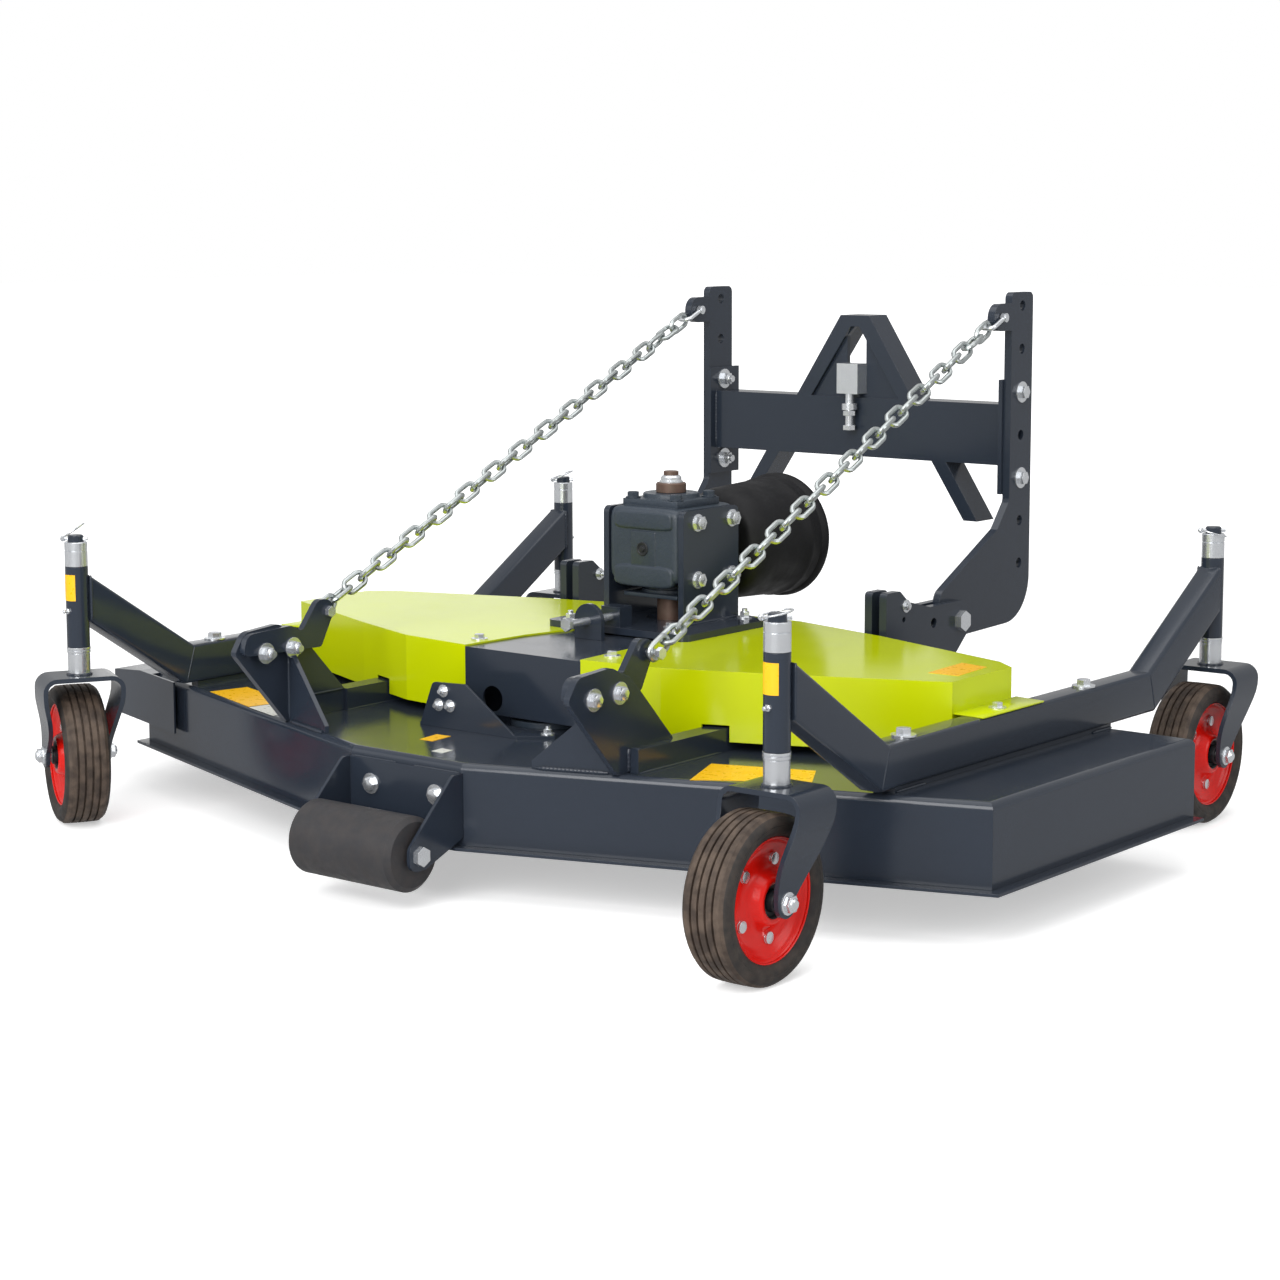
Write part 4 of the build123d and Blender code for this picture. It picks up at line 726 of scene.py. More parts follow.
HEAD = Fastening.HEAD
NUT = Fastening.NUT
PLAIN = Fastening.PLAIN
DECK_FASTENERS = (
    # kind, place, axis, width across flats, on both sides
    (HEAD, (370.0, -600.0, 346.0), X_OUT, 20.0, True),
    (HEAD, (370.0, -537.0, 348.0), X_OUT, 20.0, True),
    (NUT, (346.0, -600.0, 346.0), X_IN, 20.0, True),
    (NUT, (346.0, -537.0, 348.0), X_IN, 20.0, True),
    *((PLAIN, (90.0, y, z), X_OUT, 22.0, True) for z in (541.0, 440.0) for y in (24.0, 124.0)),
    (NUT, (111.0, 136.0, 362.0), Z_UP, 16.0, True),
    (NUT, (120.0, -72.0, 362.0), Z_UP, 16.0, True),
    (HEAD, (75.0, -34.0, 362.0), Z_UP, 14.0, True),
    (HEAD, (148.0, -283.0, 350.0), Z_UP, 16.0, True),
    (HEAD, (755.0, -62.0, 300.4), Z_UP, 16.0, True),
    (HEAD, (759.0, -338.0, 298.0), Z_UP, 22.0, True),
    (HEAD, (759.0, 204.0, 298.0), Z_UP, 22.0, True),
    (NUT, (-107.0, -420.0, 283.0), Y_FRONT, 12.0, False),
    (NUT, (-118.0, -420.0, 258.0), Y_FRONT, 12.0, False),
    (NUT, (-92.0, -420.0, 259.0), Y_FRONT, 12.0, False),
    (NUT, (84.0, -374.0, 225.0), Z_UP, 13.0, False),
    (HEAD, (71.0, -633.0, 165.0), Y_FRONT, 19.0, True),
    (HEAD, (372.3, 259.0, 392.0), X_OUT, 13.0, True),
    (NUT, (326.7, 259.0, 392.0), X_IN, 13.0, True),
    (HEAD, (372.3, 205.0, 300.0), X_OUT, 19.0, True),
)
CASTING_FASTENERS = tuple((PLAIN, (48.0, y, 577.0), Z_UP, 19.0, True) for y in (17.0, 113.0))
HITCH_FASTENERS = tuple(
    (kind, (x, 665.5, z), way, 22.0, True)
    for kind, x, way in ((HEAD, 357.0, X_OUT), (NUT, 334.0, X_IN)) for z in (746.0, 586.0)
)


@dataclass
class Chains:
    """Two tight chains of round wire links between the anchors and the shackles."""

    links: int = 28
    wire: float = 9.0
    inner_width: float = 15.0
    low: Point = (368.0, -450.0, 400.0)
    high: Point = (349.5, 592.0, 886.0)
    pin_radius: float = 6.0
    shackle_length: float = 44.0
    shackle_wire: float = 4.2
    twist: tuple[float, ...] = (0.0, 15.0, 30.0)
    slant: float = 45.0
    overlap: float = 0.3

    def turn(self, number: int) -> float:
        """Turn of a link about the chain.

        Args:
            number: Number of the link, from the anchor.

        Returns:
            The turn in degrees.
        """
        last = self.links - 1
        angle = self.slant
        if number < len(self.twist):
            angle = self.twist[number]
        elif last - number < len(self.twist):
            angle = 2 * self.slant - self.twist[last - number]
        return 90 * (number % 2) + angle

    def spots(self, side: Side) -> list[Spot]:
        """Spots of the links on one side.

        Args:
            side: The side.

        Returns:
            The spots, from the anchor to the shackle.
        """
        low, high = at(*self.low), at(*self.high)
        way = (high - low).normalized()
        start = low - way * self.pin_radius * MM
        end = high - way * (self.shackle_length - self.shackle_wire) * MM
        flat = Vector((0, -way.z, way.y)).cross(way).normalized()
        spots = []
        for number in range(self.links):
            across = Matrix.Rotation(math.radians(self.turn(number)), 3, way) @ flat
            place = start.lerp(end, (number + 0.5) / self.links)
            along = way.copy()
            place.x, along.x, across.x = place.x * side, along.x * side, across.x * side
            basis = Matrix((along, across.cross(along), across)).transposed()
            spots.append(Spot(place, basis.to_quaternion()))
        return spots

    def pattern(self) -> Pattern:
        """Tree that bends one link from round wire and sets it on every spot.

        Returns:
            The tree.
        """
        run = (at(*self.high) - at(*self.low)).length / MM
        run += self.pin_radius - self.shackle_length + self.shackle_wire
        tree = Pattern("chain_links")
        wire = tree.entry("Wire", self.wire * MM)
        pitch = tree.entry("Pitch", (run / self.links + self.overlap) * MM)
        inner = tree.entry("Inner Width", self.inner_width * MM)
        tall = tree.reckon("ADD", inner, wire)
        outline = tree.node("GeometryNodeCurvePrimitiveQuadrilateral", {
            "Width": tree.reckon("ADD", pitch, wire), "Height": tall})
        bent = tree.node("GeometryNodeFilletCurve", {
            "Curve": outline, "Radius": tree.reckon("MULTIPLY", tall, 0.498),
            "Count": tree.entry("Bend Points", 5)}, mode="POLY")
        round_wire = tree.node("GeometryNodeCurvePrimitiveCircle", {
            "Resolution": tree.entry("Wire Sides", 9), "Radius": tree.reckon("MULTIPLY", wire, 0.5)}, "Curve")
        link = tree.node("GeometryNodeCurveToMesh", {"Curve": bent, "Profile Curve": round_wire})
        tree.scatter(link, "zinc_chain")
        return tree

    def build(self) -> None:
        """Makes both chains as one piece, fixed in the part's frame."""
        spots = self.spots(Side.RIGHT) + self.spots(Side.LEFT)
        piece = self.pattern().run("chain_runs", "zinc_chain", spots)
        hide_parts("chains")
        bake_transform(piece)
        log.info("%s follows deck and hitch", piece.name)


# Castors.


@dataclass
class Castor:
    """One wheel with its fork's sleeves, bolt and linch pin."""

    name: str
    x: float
    y: float
    heading: float
    tyre_radius: float = 124.0
    trail: float = 53.0
    grooves: tuple[float, ...] = (-19.0, -6.5, 6.5, 19.0)
    groove_top: float = 1.9
    groove_floor: float = 1.3
    groove_depth: float = 4.2
    rim_bolts: int = 5
    rim_bolt_turn: float = 66.0
    rim_bolt_circle: float = 59.5
    rim_bolt_seat: float = 14.8
    rim_bolt_size: float = 0.58
    stem: float = 13.9
    stem_low: float = 276.0
    stem_top: float = 523.0
    weld_reach: float = 20.6
    sleeve_top: float = 511.0
    sleeve: float = 19.5
    sheet: float = 8.0
    crown_half: float = 72.0
    crown_bend: float = 24.0
    crown_front: float = -44.0
    crown_rear: float = 46.0
    low_half: float = 57.6
    ear: float = 22.0
    pin_turn: float = 38.0
    pin_half: float = 22.0
    ring_tilt: float = 12.0
    leg_shape: tuple[tuple[float, float, float, float], ...] = (
        # outer x, z, front y, rear y
        (71.8, 240.0, -46.0, 45.0),
        (70.4, 227.0, -50.0, 42.0),
        (67.6, 214.0, -54.0, 37.0),
        (64.4, 201.0, -58.5, 31.0),
        (61.6, 188.0, -63.0, 23.5),
        (59.4, 175.0, -67.0, 13.5),
        (58.0, 162.0, -70.5, 1.5),
        (57.6, 150.0, -73.0, -11.5),
        (57.6, 140.0, -74.4, -22.5),
        (57.6, 131.0, -75.0, -31.4),
    )

    def place(self) -> Matrix:
        """Place of the fork, with the wheel behind the stem along local -Y."""
        turn = Matrix.Rotation(math.radians(self.heading - 270), 4, "Z")
        return Matrix.Translation(at(self.x, self.y, 0)) @ turn

    def wheel_place(self) -> Matrix:
        """Place of the wheel, turning about local X."""
        return self.place() @ Matrix.Translation(at(0, -self.trail, self.tyre_radius))

    def tyre_rows(self) -> Rows:
        """Section of the tyre from one bead over the ribbed tread to the other.

        Returns:
            Rows of place along the axle and radius.
        """
        side = [(27.0, 89.0), (33.5, 91.5), (36.5, 95.0), (38.8, 99.0), (39.8, 103.0), (39.2, 106.5),
                (40.0, 108.0), (39.6, 112.5), (37.8, 116.6), (34.8, 119.6), (31.4, 121.2), (29.6, 123.2)]
        rows = [(-x, radius) for x, radius in side]
        for centre in self.grooves:
            crown = self.tyre_radius - 0.7 * (centre / 30) ** 2
            floor = crown - self.groove_depth
            rows += [(centre - self.groove_top, crown), (centre - self.groove_floor, floor),
                     (centre + self.groove_floor, floor), (centre + self.groove_top, crown)]
        return rows + side[::-1]

    @staticmethod
    def rim_rows() -> Rows:
        """Section of the pressed rim with its stepped dish and hub.

        Returns:
            Rows of place along the axle and radius.
        """
        side = [(44.0, 8.1), (44.0, 15.0), (42.5, 16.5), (30.0, 16.5), (29.0, 22.0), (34.0, 23.5),
                (36.6, 25.5), (37.6, 29.0), (36.6, 32.5), (33.0, 35.0), (25.0, 39.5), (20.0, 43.0),
                (16.6, 48.0), (15.2, 55.0), (14.8, 64.0), (15.8, 70.0), (19.0, 75.0), (21.0, 79.0),
                (23.0, 83.0), (26.5, 85.0), (29.0, 87.0), (30.0, 90.5), (31.8, 91.3), (33.0, 90.4),
                (32.0, 88.7)]
        return side + [(-along, radius) for along, radius in side[::-1]]

    def wheel_piece(self, kind: str, style: str, slot: str, rows: Rows, steps: int, smooth: float,
                    second: tuple[str, float, float]) -> None:
        """Makes a turned piece of the wheel, of two finishes, that stands for one node.

        Args:
            kind: First word of the piece's name and of its node's.
            style: Last word of the piece's name.
            slot: Name of its main finish and of its material slot.
            rows: Its section.
            steps: Number of its sides.
            smooth: Edges sharper than this many degrees stay sharp.
            second: Name of the second finish and the range of radius that has it.
        """
        finish, low, high = second
        shape = Shape()
        shape.lathe(rows, self.wheel_place(), steps)
        piece = shape.done(f"{kind}_{self.name}_{style}", slot, smooth)
        piece.data.materials.append(look(finish))
        back = self.wheel_place().inverted()
        for face in piece.data.polygons:
            local = back @ face.center
            if low < math.hypot(local.y, local.z) / MM < high:
                face.material_index = 1
        fit(piece, f"wheel_{self.name}", slot, f"{kind}_{self.name}")

    def rim_bolt_heads(self) -> None:
        """Makes the ring of bolt heads on both faces of the rim."""
        place = self.wheel_place()
        spots = []
        last = self.rim_bolt_turn + 360.0
        for side in Side:
            way = (place.to_3x3() @ Vector((side, 0, 0))).to_track_quat("Z", "Y")
            for c, s in arc(self.rim_bolt_turn, last, self.rim_bolts)[:-1]:
                seat = at(side * self.rim_bolt_seat, self.rim_bolt_circle * c, self.rim_bolt_circle * s)
                spots.append(Spot(place @ seat, way, self.rim_bolt_size))
        pattern = fastener_pattern(Fastening.ROUND, "zinc")
        fit(pattern.run(f"rim_{self.name}_bolts", "zinc", spots), f"wheel_{self.name}", "zinc")

    def leg_rows(self) -> list[tuple[float, float, float, float]]:
        """Shape of one leg of the fork, from the crown's middle down.

        Returns:
            Rows of outer x, z, front y and rear y.
        """
        bend = self.crown_bend
        rows = [(0.0, self.stem_low, self.crown_front, self.crown_rear)]
        for c, s in arc(90.0, 0.0, 6):
            rows.append((self.crown_half - bend + bend * c, self.stem_low - bend + bend * s,
                         self.crown_front, self.crown_rear))
        rows += self.leg_shape
        for drop in (0.0, 8.0, 14.0, 18.5, 21.0, 21.9):
            reach = math.sqrt(self.ear ** 2 - drop ** 2)
            rows.append((self.low_half, self.tyre_radius - drop, -self.trail - reach, -self.trail + reach))
        return rows

    def fork(self) -> None:
        """Makes the fork from bent plate, with its stem and the weld round it."""
        rows = self.leg_rows()
        line = [(-x, z, front, rear) for x, z, front, rear in reversed(rows)] + rows[1:]
        place = self.place()
        rings = []
        for before, (x, z, front, rear), after in zip(line[:1] + line, line, line[1:] + line[-1:]):
            run = Vector((after[0] - before[0], 0, after[1] - before[1])).normalized()
            inward = Vector((run.z, 0, -run.x)) * self.sheet
            near, far = Vector((x, front, z)), Vector((x, rear, z))
            rings.append([place @ (corner * MM) for corner in (near, far, far + inward, near + inward)])
        shape = Shape()
        shape.faces(rings)
        foot, top = self.stem_low - 6, self.stem_top
        stem = [(foot, 0.0), (foot, self.stem), (top - 2.2, self.stem), (top, self.stem - 2.1), (top, 0.0)]
        shape.lathe(stem, place @ facing((0, 0, 0), Z_UP), 32)
        ring = [place @ at(self.weld_reach * c, self.weld_reach * s, self.stem_low + 0.6)
                for c, s in circle(48)]
        radii = [(2.6 + 0.4 * math.sin(2.6 * step)) * MM for step in range(len(ring))]
        shape.sweep(ring, radii, 8, closed=True)
        piece = shape.done(f"fork_{self.name}_bent", "paint_dark", 40)
        fit(piece, f"castor_{self.name}", "paint_dark", f"fork_{self.name}")

    def sleeves(self, shape: Shape) -> None:
        """Adds the sleeves above and below the stem tube, with the thin rings between them.

        Args:
            shape: The shape that they join.
        """
        wide = self.sleeve
        low = [(self.stem_low, TUBE_BORE), (self.stem_low, wide - 0.8), (self.stem_low + 0.8, wide)]
        low += [(TUBE_LOW + up, wide + out) for up, out in (
            (-11.5, 0.0), (-11.0, -0.9), (-10.2, -0.9), (-9.8, 0.9), (-6.0, 0.9), (-5.6, -0.6), (-4.8, -0.6),
            (-4.4, 1.2), (-0.3, 1.2))]
        low.append((TUBE_LOW - 0.3, TUBE_BORE))
        high = [(TUBE_HIGH + 0.3, TUBE_BORE)]
        high += [(TUBE_HIGH + up, wide + out) for up, out in (
            (0.3, 0.4), (27.0, 0.4), (27.6, -0.7), (28.4, -0.7), (29.0, 0.4))]
        top = self.sleeve_top
        high += [(top - 1.2, wide + 0.4), (top, wide - 0.8), (top, TUBE_BORE)]
        for rows in (low, high):
            shape.lathe(rows, self.place() @ facing((0, 0, 0), Z_UP), 40)

    def axle(self, shape: Shape) -> None:
        """Adds the axle bolt with its washers, head and domed nut.

        Args:
            shape: The shape that they join.
        """
        place = self.wheel_place()
        ends = (
            (32, [(57.6, 0.0), (57.6, 16.5), (60.2, 16.5), (60.6, 15.8), (60.6, 0.0)]),
            (6, [(60.4, 0.0), (60.4, 13.2), (68.0, 13.2), (69.0, 12.0), (69.0, 0.0)]),
            (20, [(68.6, 0.0), (68.6, 9.4), (70.6, 8.8), (72.6, 6.4), (73.4, 0.0)]),
        )
        for side in Side:
            for steps, rows in ends:
                shape.lathe(rows, place @ Matrix.Diagonal((float(side), 1, 1, 1)), steps)
        shape.lathe([(-58.0, 0.0), (-58.0, 7.9), (58.0, 7.9), (58.0, 0.0)], place, 20)

    def linch_pin(self, shape: Shape) -> None:
        """Adds the pin through the stem's top with its spring ring round the end.

        Args:
            shape: The shape that they join.
        """
        turn = Matrix.Rotation(math.radians(self.pin_turn), 4, "Z")
        turn = Matrix.Translation(at(self.x, self.y, 0)) @ turn
        height = self.sleeve_top + 5.2
        head = Matrix.Translation(at(-self.pin_half, 0, height))
        shape.sweep([turn @ at(-self.pin_half, 0, height), turn @ at(21, 0, height)], [3.4 * MM] * 2, 12)
        knob = Matrix.Translation(turn @ at(-self.pin_half - 0.5, 0, height))
        bmesh.ops.create_uvsphere(shape.mesh, u_segments=12, v_segments=8, radius=5.2 * MM, matrix=knob)
        lift = turn @ head @ Matrix.Rotation(math.radians(-self.ring_tilt), 4, "Y")
        loop = [lift @ at(self.pin_half + 23.5 * c, 21 * s, 1.5) for c, s in arc(194.0, 526.0, 24)]
        shape.sweep(loop, [1.5 * MM] * len(loop), 8)

    def build(self) -> None:
        """Makes the whole castor."""
        tread, hub = ("tread_rubber", 119.0, 130.0), ("hub_dark_and_plug_shade", 0.0, 24.5)
        self.wheel_piece("tyre", "ribbed", "tyre_rubber", self.tyre_rows(), 88, 32, tread)
        self.wheel_piece("rim", "pressed", "paint_red", self.rim_rows(), 64, 40, hub)
        self.rim_bolt_heads()
        self.fork()
        shape = Shape()
        for add in (self.sleeves, self.axle, self.linch_pin):
            add(shape)
        piece = shape.done(f"fork_{self.name}_plated", "zinc", 32)
        fit(piece, f"castor_{self.name}", "zinc", f"fork_hardware_{self.name}")


CASTORS = (
    Castor("fr", STEM_X, -STEM_Y, 270.0),
    Castor("fl", -STEM_X, -STEM_Y, 151.0, ring_tilt=34.0),
    Castor("rr", STEM_X, STEM_Y, 272.0, ring_tilt=-16.0),
    Castor("rl", -STEM_X, STEM_Y, 272.0, ring_tilt=22.0),
)


# Side beams.


@dataclass
class SideBeams:
    """Rectangular side beams with mitred arms, the stem tubes and the pads under them."""

    centre: float = 759.0
    width: float = 44.0
    depth: float = 70.0
    corner: float = 7.0
    low: float = 228.0
    end: float = 647.0
    front_knee: float = -428.0
    rear_knee: float = 414.0
    front_end_low: float = 369.0
    rear_end_low: float = 371.0
    pad: tuple[tuple[float, float], ...] = ((744, -396), (774, -384), (774, 272), (744, 272))

    def stations(self) -> list[tuple[float, float, float, float]]:
        """Where the beam ends and bends, from the front to the rear.

        Returns:
            Rows of lower y, lower z, upper y and upper z.
        """
        high = self.low + self.depth
        front = math.atan2(self.front_end_low - self.low, self.end + self.front_knee)
        rear = math.atan2(self.rear_end_low - self.low, self.end - self.rear_knee)
        front_high = self.front_knee + self.depth * math.tan(front / 2)
        rear_high = self.rear_knee - self.depth * math.tan(rear / 2)
        return [
            (-self.end, self.front_end_low, -self.end, high + (self.end + front_high) * math.tan(front)),
            (self.front_knee, self.low, front_high, high),
            (self.rear_knee, self.low, rear_high, high),
            (self.end, self.rear_end_low, self.end, high + (self.end - rear_high) * math.tan(rear)),
        ]

    def section(self) -> Rows:
        """Rounded section of the beam.

        Returns:
            Rows of place across and share of the depth.
        """
        half = self.width / 2 - self.corner
        rise = self.corner / self.depth
        rows = []
        corners = ((half, 1 - rise), (-half, 1 - rise), (-half, rise), (half, rise))
        for start, (across, up) in zip((0, 90, 180, 270), corners):
            rows += [(across + self.corner * c, up + rise * s) for c, s in arc(start, start + 90, 4)]
        return rows

    def solids(self, shape: Shape, side: Side) -> None:
        """Adds one beam with its pad and its two bored stem tubes.

        Args:
            shape: The shape that they join.
            side: Side of the machine.
        """
        shape.faces([[at(side * (self.centre + across), low_y + (high_y - low_y) * share,
                         low_z + (high_z - low_z) * share) for across, share in self.section()]
                     for low_y, low_z, high_y, high_z in self.stations()])
        pad = [at(side * x, y, DECK_TOP - 0.2) for x, y in self.pad]
        shape.prism(pad, at(0, 0, self.low - DECK_TOP + 1))
        wall = [(TUBE_LOW, TUBE_BORE), (TUBE_LOW, TUBE_RADIUS - 0.8), (TUBE_LOW + 0.8, TUBE_RADIUS),
                (TUBE_HIGH - 0.8, TUBE_RADIUS), (TUBE_HIGH, TUBE_RADIUS - 0.8), (TUBE_HIGH, TUBE_BORE)]
        for y in (-STEM_Y, STEM_Y):
            shape.lathe(wall, facing(at(side * STEM_X, y, 0), Z_UP))

    def beads(self, shape: Shape, side: Side) -> None:
        """Adds the weld beads at the knees and where the arms meet the tubes.

        Args:
            shape: The shape that they join.
            side: Side of the machine.
        """
        front, front_knee, rear_knee, rear = self.stations()
        half = self.width / 2
        for low_y, low_z, high_y, high_z in (front_knee, rear_knee):
            for across in (0.6 - half, half - 0.6):
                x = side * (self.centre + across)
                bead(shape, at(x, low_y + (high_y - low_y) * 0.06, low_z + 4), at(x, high_y, high_z - 4), 1.9)
        for (low_y, low_z, high_y, high_z), way in ((front, 1), (rear, -1)):
            for across in (0.2 - half, half - 2.6):
                x = side * (self.centre + across)
                bead(shape, at(x, low_y + way, low_z + 2), at(x, high_y + way, high_z - 1), 3.4)

    def build(self) -> None:
        """Makes both beams as one piece and their beads as another."""
        beams, beads = Shape(), Shape()
        for side in Side:
            self.solids(beams, side)
            self.beads(beads, side)
        fit(beams.done("side_beams_welded", "paint_dark", 30), "deck", "paint_dark", "side_beams")
        fit(beads.done("side_beam_beads", "weld_paint", 60), "deck", "paint_dark")


@dataclass
class CoverTabs:
    """Flat tabs that carry the belt covers on the beams."""

    corners: tuple[tuple[float, float], ...] = ((724.5, -144), (781.5, -147), (781.5, 38), (724.5, 46))
    seat: float = 297.8
    sheet: float = 2.6

    def build(self) -> None:
        """Makes both tabs."""
        shape = Shape()
        for side in Side:
            shape.prism([at(side * x, y, self.seat) for x, y in self.corners], at(0, 0, self.sheet))
        shape.soften(0.8 * MM)
        fit(shape.done("cover_tabs", "paint_lime"), "deck", "paint_lime")


# Drive.


@dataclass
class Drive:
    """Gearbox casting with its nut, collar and plug, the input shaft and its guard."""

    gearbox_y: float = 65.0
    input_z: float = 480.0
    guard_start: float = 190.0
    flange_top: float = 577.0
    teeth: int = 6

    def rearward(self) -> Matrix:
        """Place of what turns about the input shaft's axis, from the guard's front."""
        return facing(at(0, self.guard_start, self.input_z), Y_REAR)

    def upward(self) -> Matrix:
        """Place of what turns about the gearbox's upright axis, from the ground."""
        return facing(at(0, self.gearbox_y, 0), Z_UP)

    def guard(self) -> None:
        """Makes the moulded guard with its round shoulder, beads and rolled rim."""
        rows = [(0.0, 32.0), (0.0, 62.0), (2.0, 66.0), (1.0, 74.0), (4.0, 84.0), (11.0, 93.0), (22.0, 99.5),
                (36.0, 102.6), (70.0, 104.2), (120.0, 106.4), (152.0, 107.8), (155.0, 109.6),
                (160.0, 110.6), (165.0, 109.4), (168.0, 108.6), (187.0, 109.6), (190.0, 112.6),
                (196.0, 115.2), (202.0, 115.6), (205.0, 113.6), (205.0, 107.0), (190.0, 106.0),
                (70.0, 99.0), (30.0, 97.0), (12.0, 86.0), (6.0, 70.0), (5.0, 32.0)]
        shape = Shape()
        shape.lathe(rows, self.rearward(), 96)
        fit(shape.done("guard_moulded", "guard_plastic", 38), "deck", "guard_plastic", "shaft_guard")

    def shaft(self) -> None:
        """Makes the input shaft with its splines and a ball groove."""
        tooth = ((0.06, 14.6), (0.26, 14.6), (0.32, 17.4), (0.5, 17.4), (0.68, 17.4), (0.94, 17.4))
        ring = [(2 * math.pi * (number + share) / self.teeth, radius)
                for number in range(self.teeth) for share, radius in tooth]
        along_shrink = ((-19.7, 0.86), (0.3, 0.86), (0.4, 1.0), (52.0, 1.0), (54.0, 0.88), (60.0, 0.88),
                        (62.0, 1.0), (83.0, 1.0), (85.3, 0.9))
        place = self.rearward()
        shape = Shape()
        shape.faces([[place @ at(along, r * shrink * math.cos(a), r * shrink * math.sin(a)) for a, r in ring]
                     for along, shrink in along_shrink])
        fit(shape.done("input_spline", "bare_steel", 30), "input_shaft_body", "bare_steel", "input_shaft")

    def top_nut(self) -> None:
        """Makes the primed collar and the stepped nut on the gearbox."""
        low = self.flange_top + 9.0
        collar, nut = Shape(), Shape()
        for shape, steps, rows in (
                (collar, 48, ((0, 0), (0, 26), (1, 27), (15.5, 27), (17.5, 25), (17.5, 0))),
                (collar, 32, ((30, 0), (30, 12.6), (31, 13.4), (37, 13.4), (38, 12.4), (38, 0))),
                (nut, 40, ((17.3, 0), (17.3, 20.5), (21, 20.5), (22, 18.4), (27, 18.4), (30.4, 15.4),
                           (30.4, 0)))):
            shape.lathe([(low + up, radius) for up, radius in rows], self.upward(), steps)
        fit(collar.done("gearbox_collar", "primed_steel", 32), "deck", "zinc")
        fit(nut.done("gearbox_nut", "zinc", 32), "deck", "zinc", "gearbox_cap")

    @staticmethod
    def pillow(shape: Shape, centre: tuple[float, float], half: tuple[float, float], power: float,
               levels: tuple[tuple[float, float], ...]) -> None:
        """Adds a block with rounded corners that stands along Y.

        Args:
            shape: Shape that takes the faces.
            centre: x and z of its middle.
            half: Half its width and half its height.
            power: How square its corners are.
            levels: Rows of y and the inset there.
        """
        rounds = [[math.copysign(abs(part) ** (2 / power), part) for part in pair] for pair in circle(72)]
        shape.faces([[at(centre[0] + c * (half[0] - inset), y, centre[1] + s * (half[1] - inset))
                      for c, s in rounds] for y, inset in levels])

    def square_ring(self, shape: Shape, half: float, bore: float, low: float, high: float) -> None:
        """Adds a square plate with a round hole about the gearbox's upright axis.

        Args:
            shape: Shape that takes the faces.
            half: Half the plate's width.
            bore: Radius of the hole.
            low: Height of its lower face.
            high: Height of its upper face.
        """
        ways = circle(48)
        square = [half / max(abs(c), abs(s)) for c, s in ways]
        hole = [bore] * len(ways)
        shape.faces([[at(r * c, self.gearbox_y + r * s, z) for r, (c, s) in zip(reach, ways)]
                     for reach, z in ((square, low), (square, high), (hole, high), (hole, low))], closed=True)

    def casting(self) -> None:
        """Makes the gearbox's casting with its raised panels, flange, hub and bottom plate."""
        shape = Shape()
        self.pillow(shape, (0.0, 498.0), (77.9, 67.0), 9.0, (
            (150.0, 3.0), (148.0, 0.8), (145.0, 0.0), (-5.0, 0.0), (-9.0, 0.8), (-12.5, 3.0), (-14.6, 6.0),
            (-15.6, 10.0), (-16.0, 15.0)))
        raised = ((-8.0, -1.5), (-16.0, -0.6), (-18.6, 0.4), (-19.7, 1.8), (-20.0, 4.0))
        self.pillow(shape, (1.5, 543.0), (64.0, 15.5), 6.0, raised)
        self.pillow(shape, (1.5, 443.5), (65.5, 18.5), 5.0, raised)
        self.pillow(shape, (1.5, 492.5), (27.0, 31.0), 24.0, ((-8.0, 0.0), (-17.2, 0.0), (-17.7, 0.6)))
        upward = self.upward()
        shape.lathe([(576.0, 0.0), (576.0, 54.0), (578.0, 51.0), (585.0, 49.6), (586.0, 48.4), (586.0, 0.0)],
                    upward, 56)
        shape.lathe([(415.0, 25.3), (415.0, 48.0), (425.0, 49.0), (425.0, 25.3)], upward)
        shape.lathe([(84.0, 15.4), (84.0, 47.0), (122.5, 45.0), (124.6, 42.8), (124.6, 15.4)],
                    facing(at(0, self.gearbox_y, self.input_z), Y_REAR))
        half = 61.0
        square = [at(x * half, self.gearbox_y + y * half, 564.5) for x, y in SQUARE]
        shape.prism(square, at(0, 0, 12.5))
        self.square_ring(shape, 60.0, 31.0, 402.8, 409.8)
        shape.lathe([(409.5, 31.0), (409.5, 52.0), (416.0, 52.0), (416.0, 31.0)], upward)
        shape.soften(1.4 * MM)
        fit(shape.done("gearbox_cast", "paint_cast", 38), "deck", "paint_cast", "gearbox")

    def plug(self) -> None:
        """Makes the level plug with its recess."""
        shape = Shape()
        shape.lathe([(-1.0, 0.0), (-1.0, 12.5), (1.2, 12.5), (1.8, 11.8), (1.8, 9.4), (0.6, 9.0), (0.6, 5.2),
                     (3.4, 4.6), (3.4, 0.0)], facing(at(0.5, -17.6, 492.0), Y_FRONT), 28)
        # the whole plug gets the dark hub finish: painted shade standing for the shade in its recess
        fit(shape.done("gearbox_plug", "hub_dark_and_plug_shade", 30), "deck", "paint_cast")

    def build(self) -> None:
        """Makes every piece of the drive."""
        for make in (self.guard, self.shaft, self.top_nut, self.casting, self.plug):
            make()


# Blank plates, weld beads and small fittings.


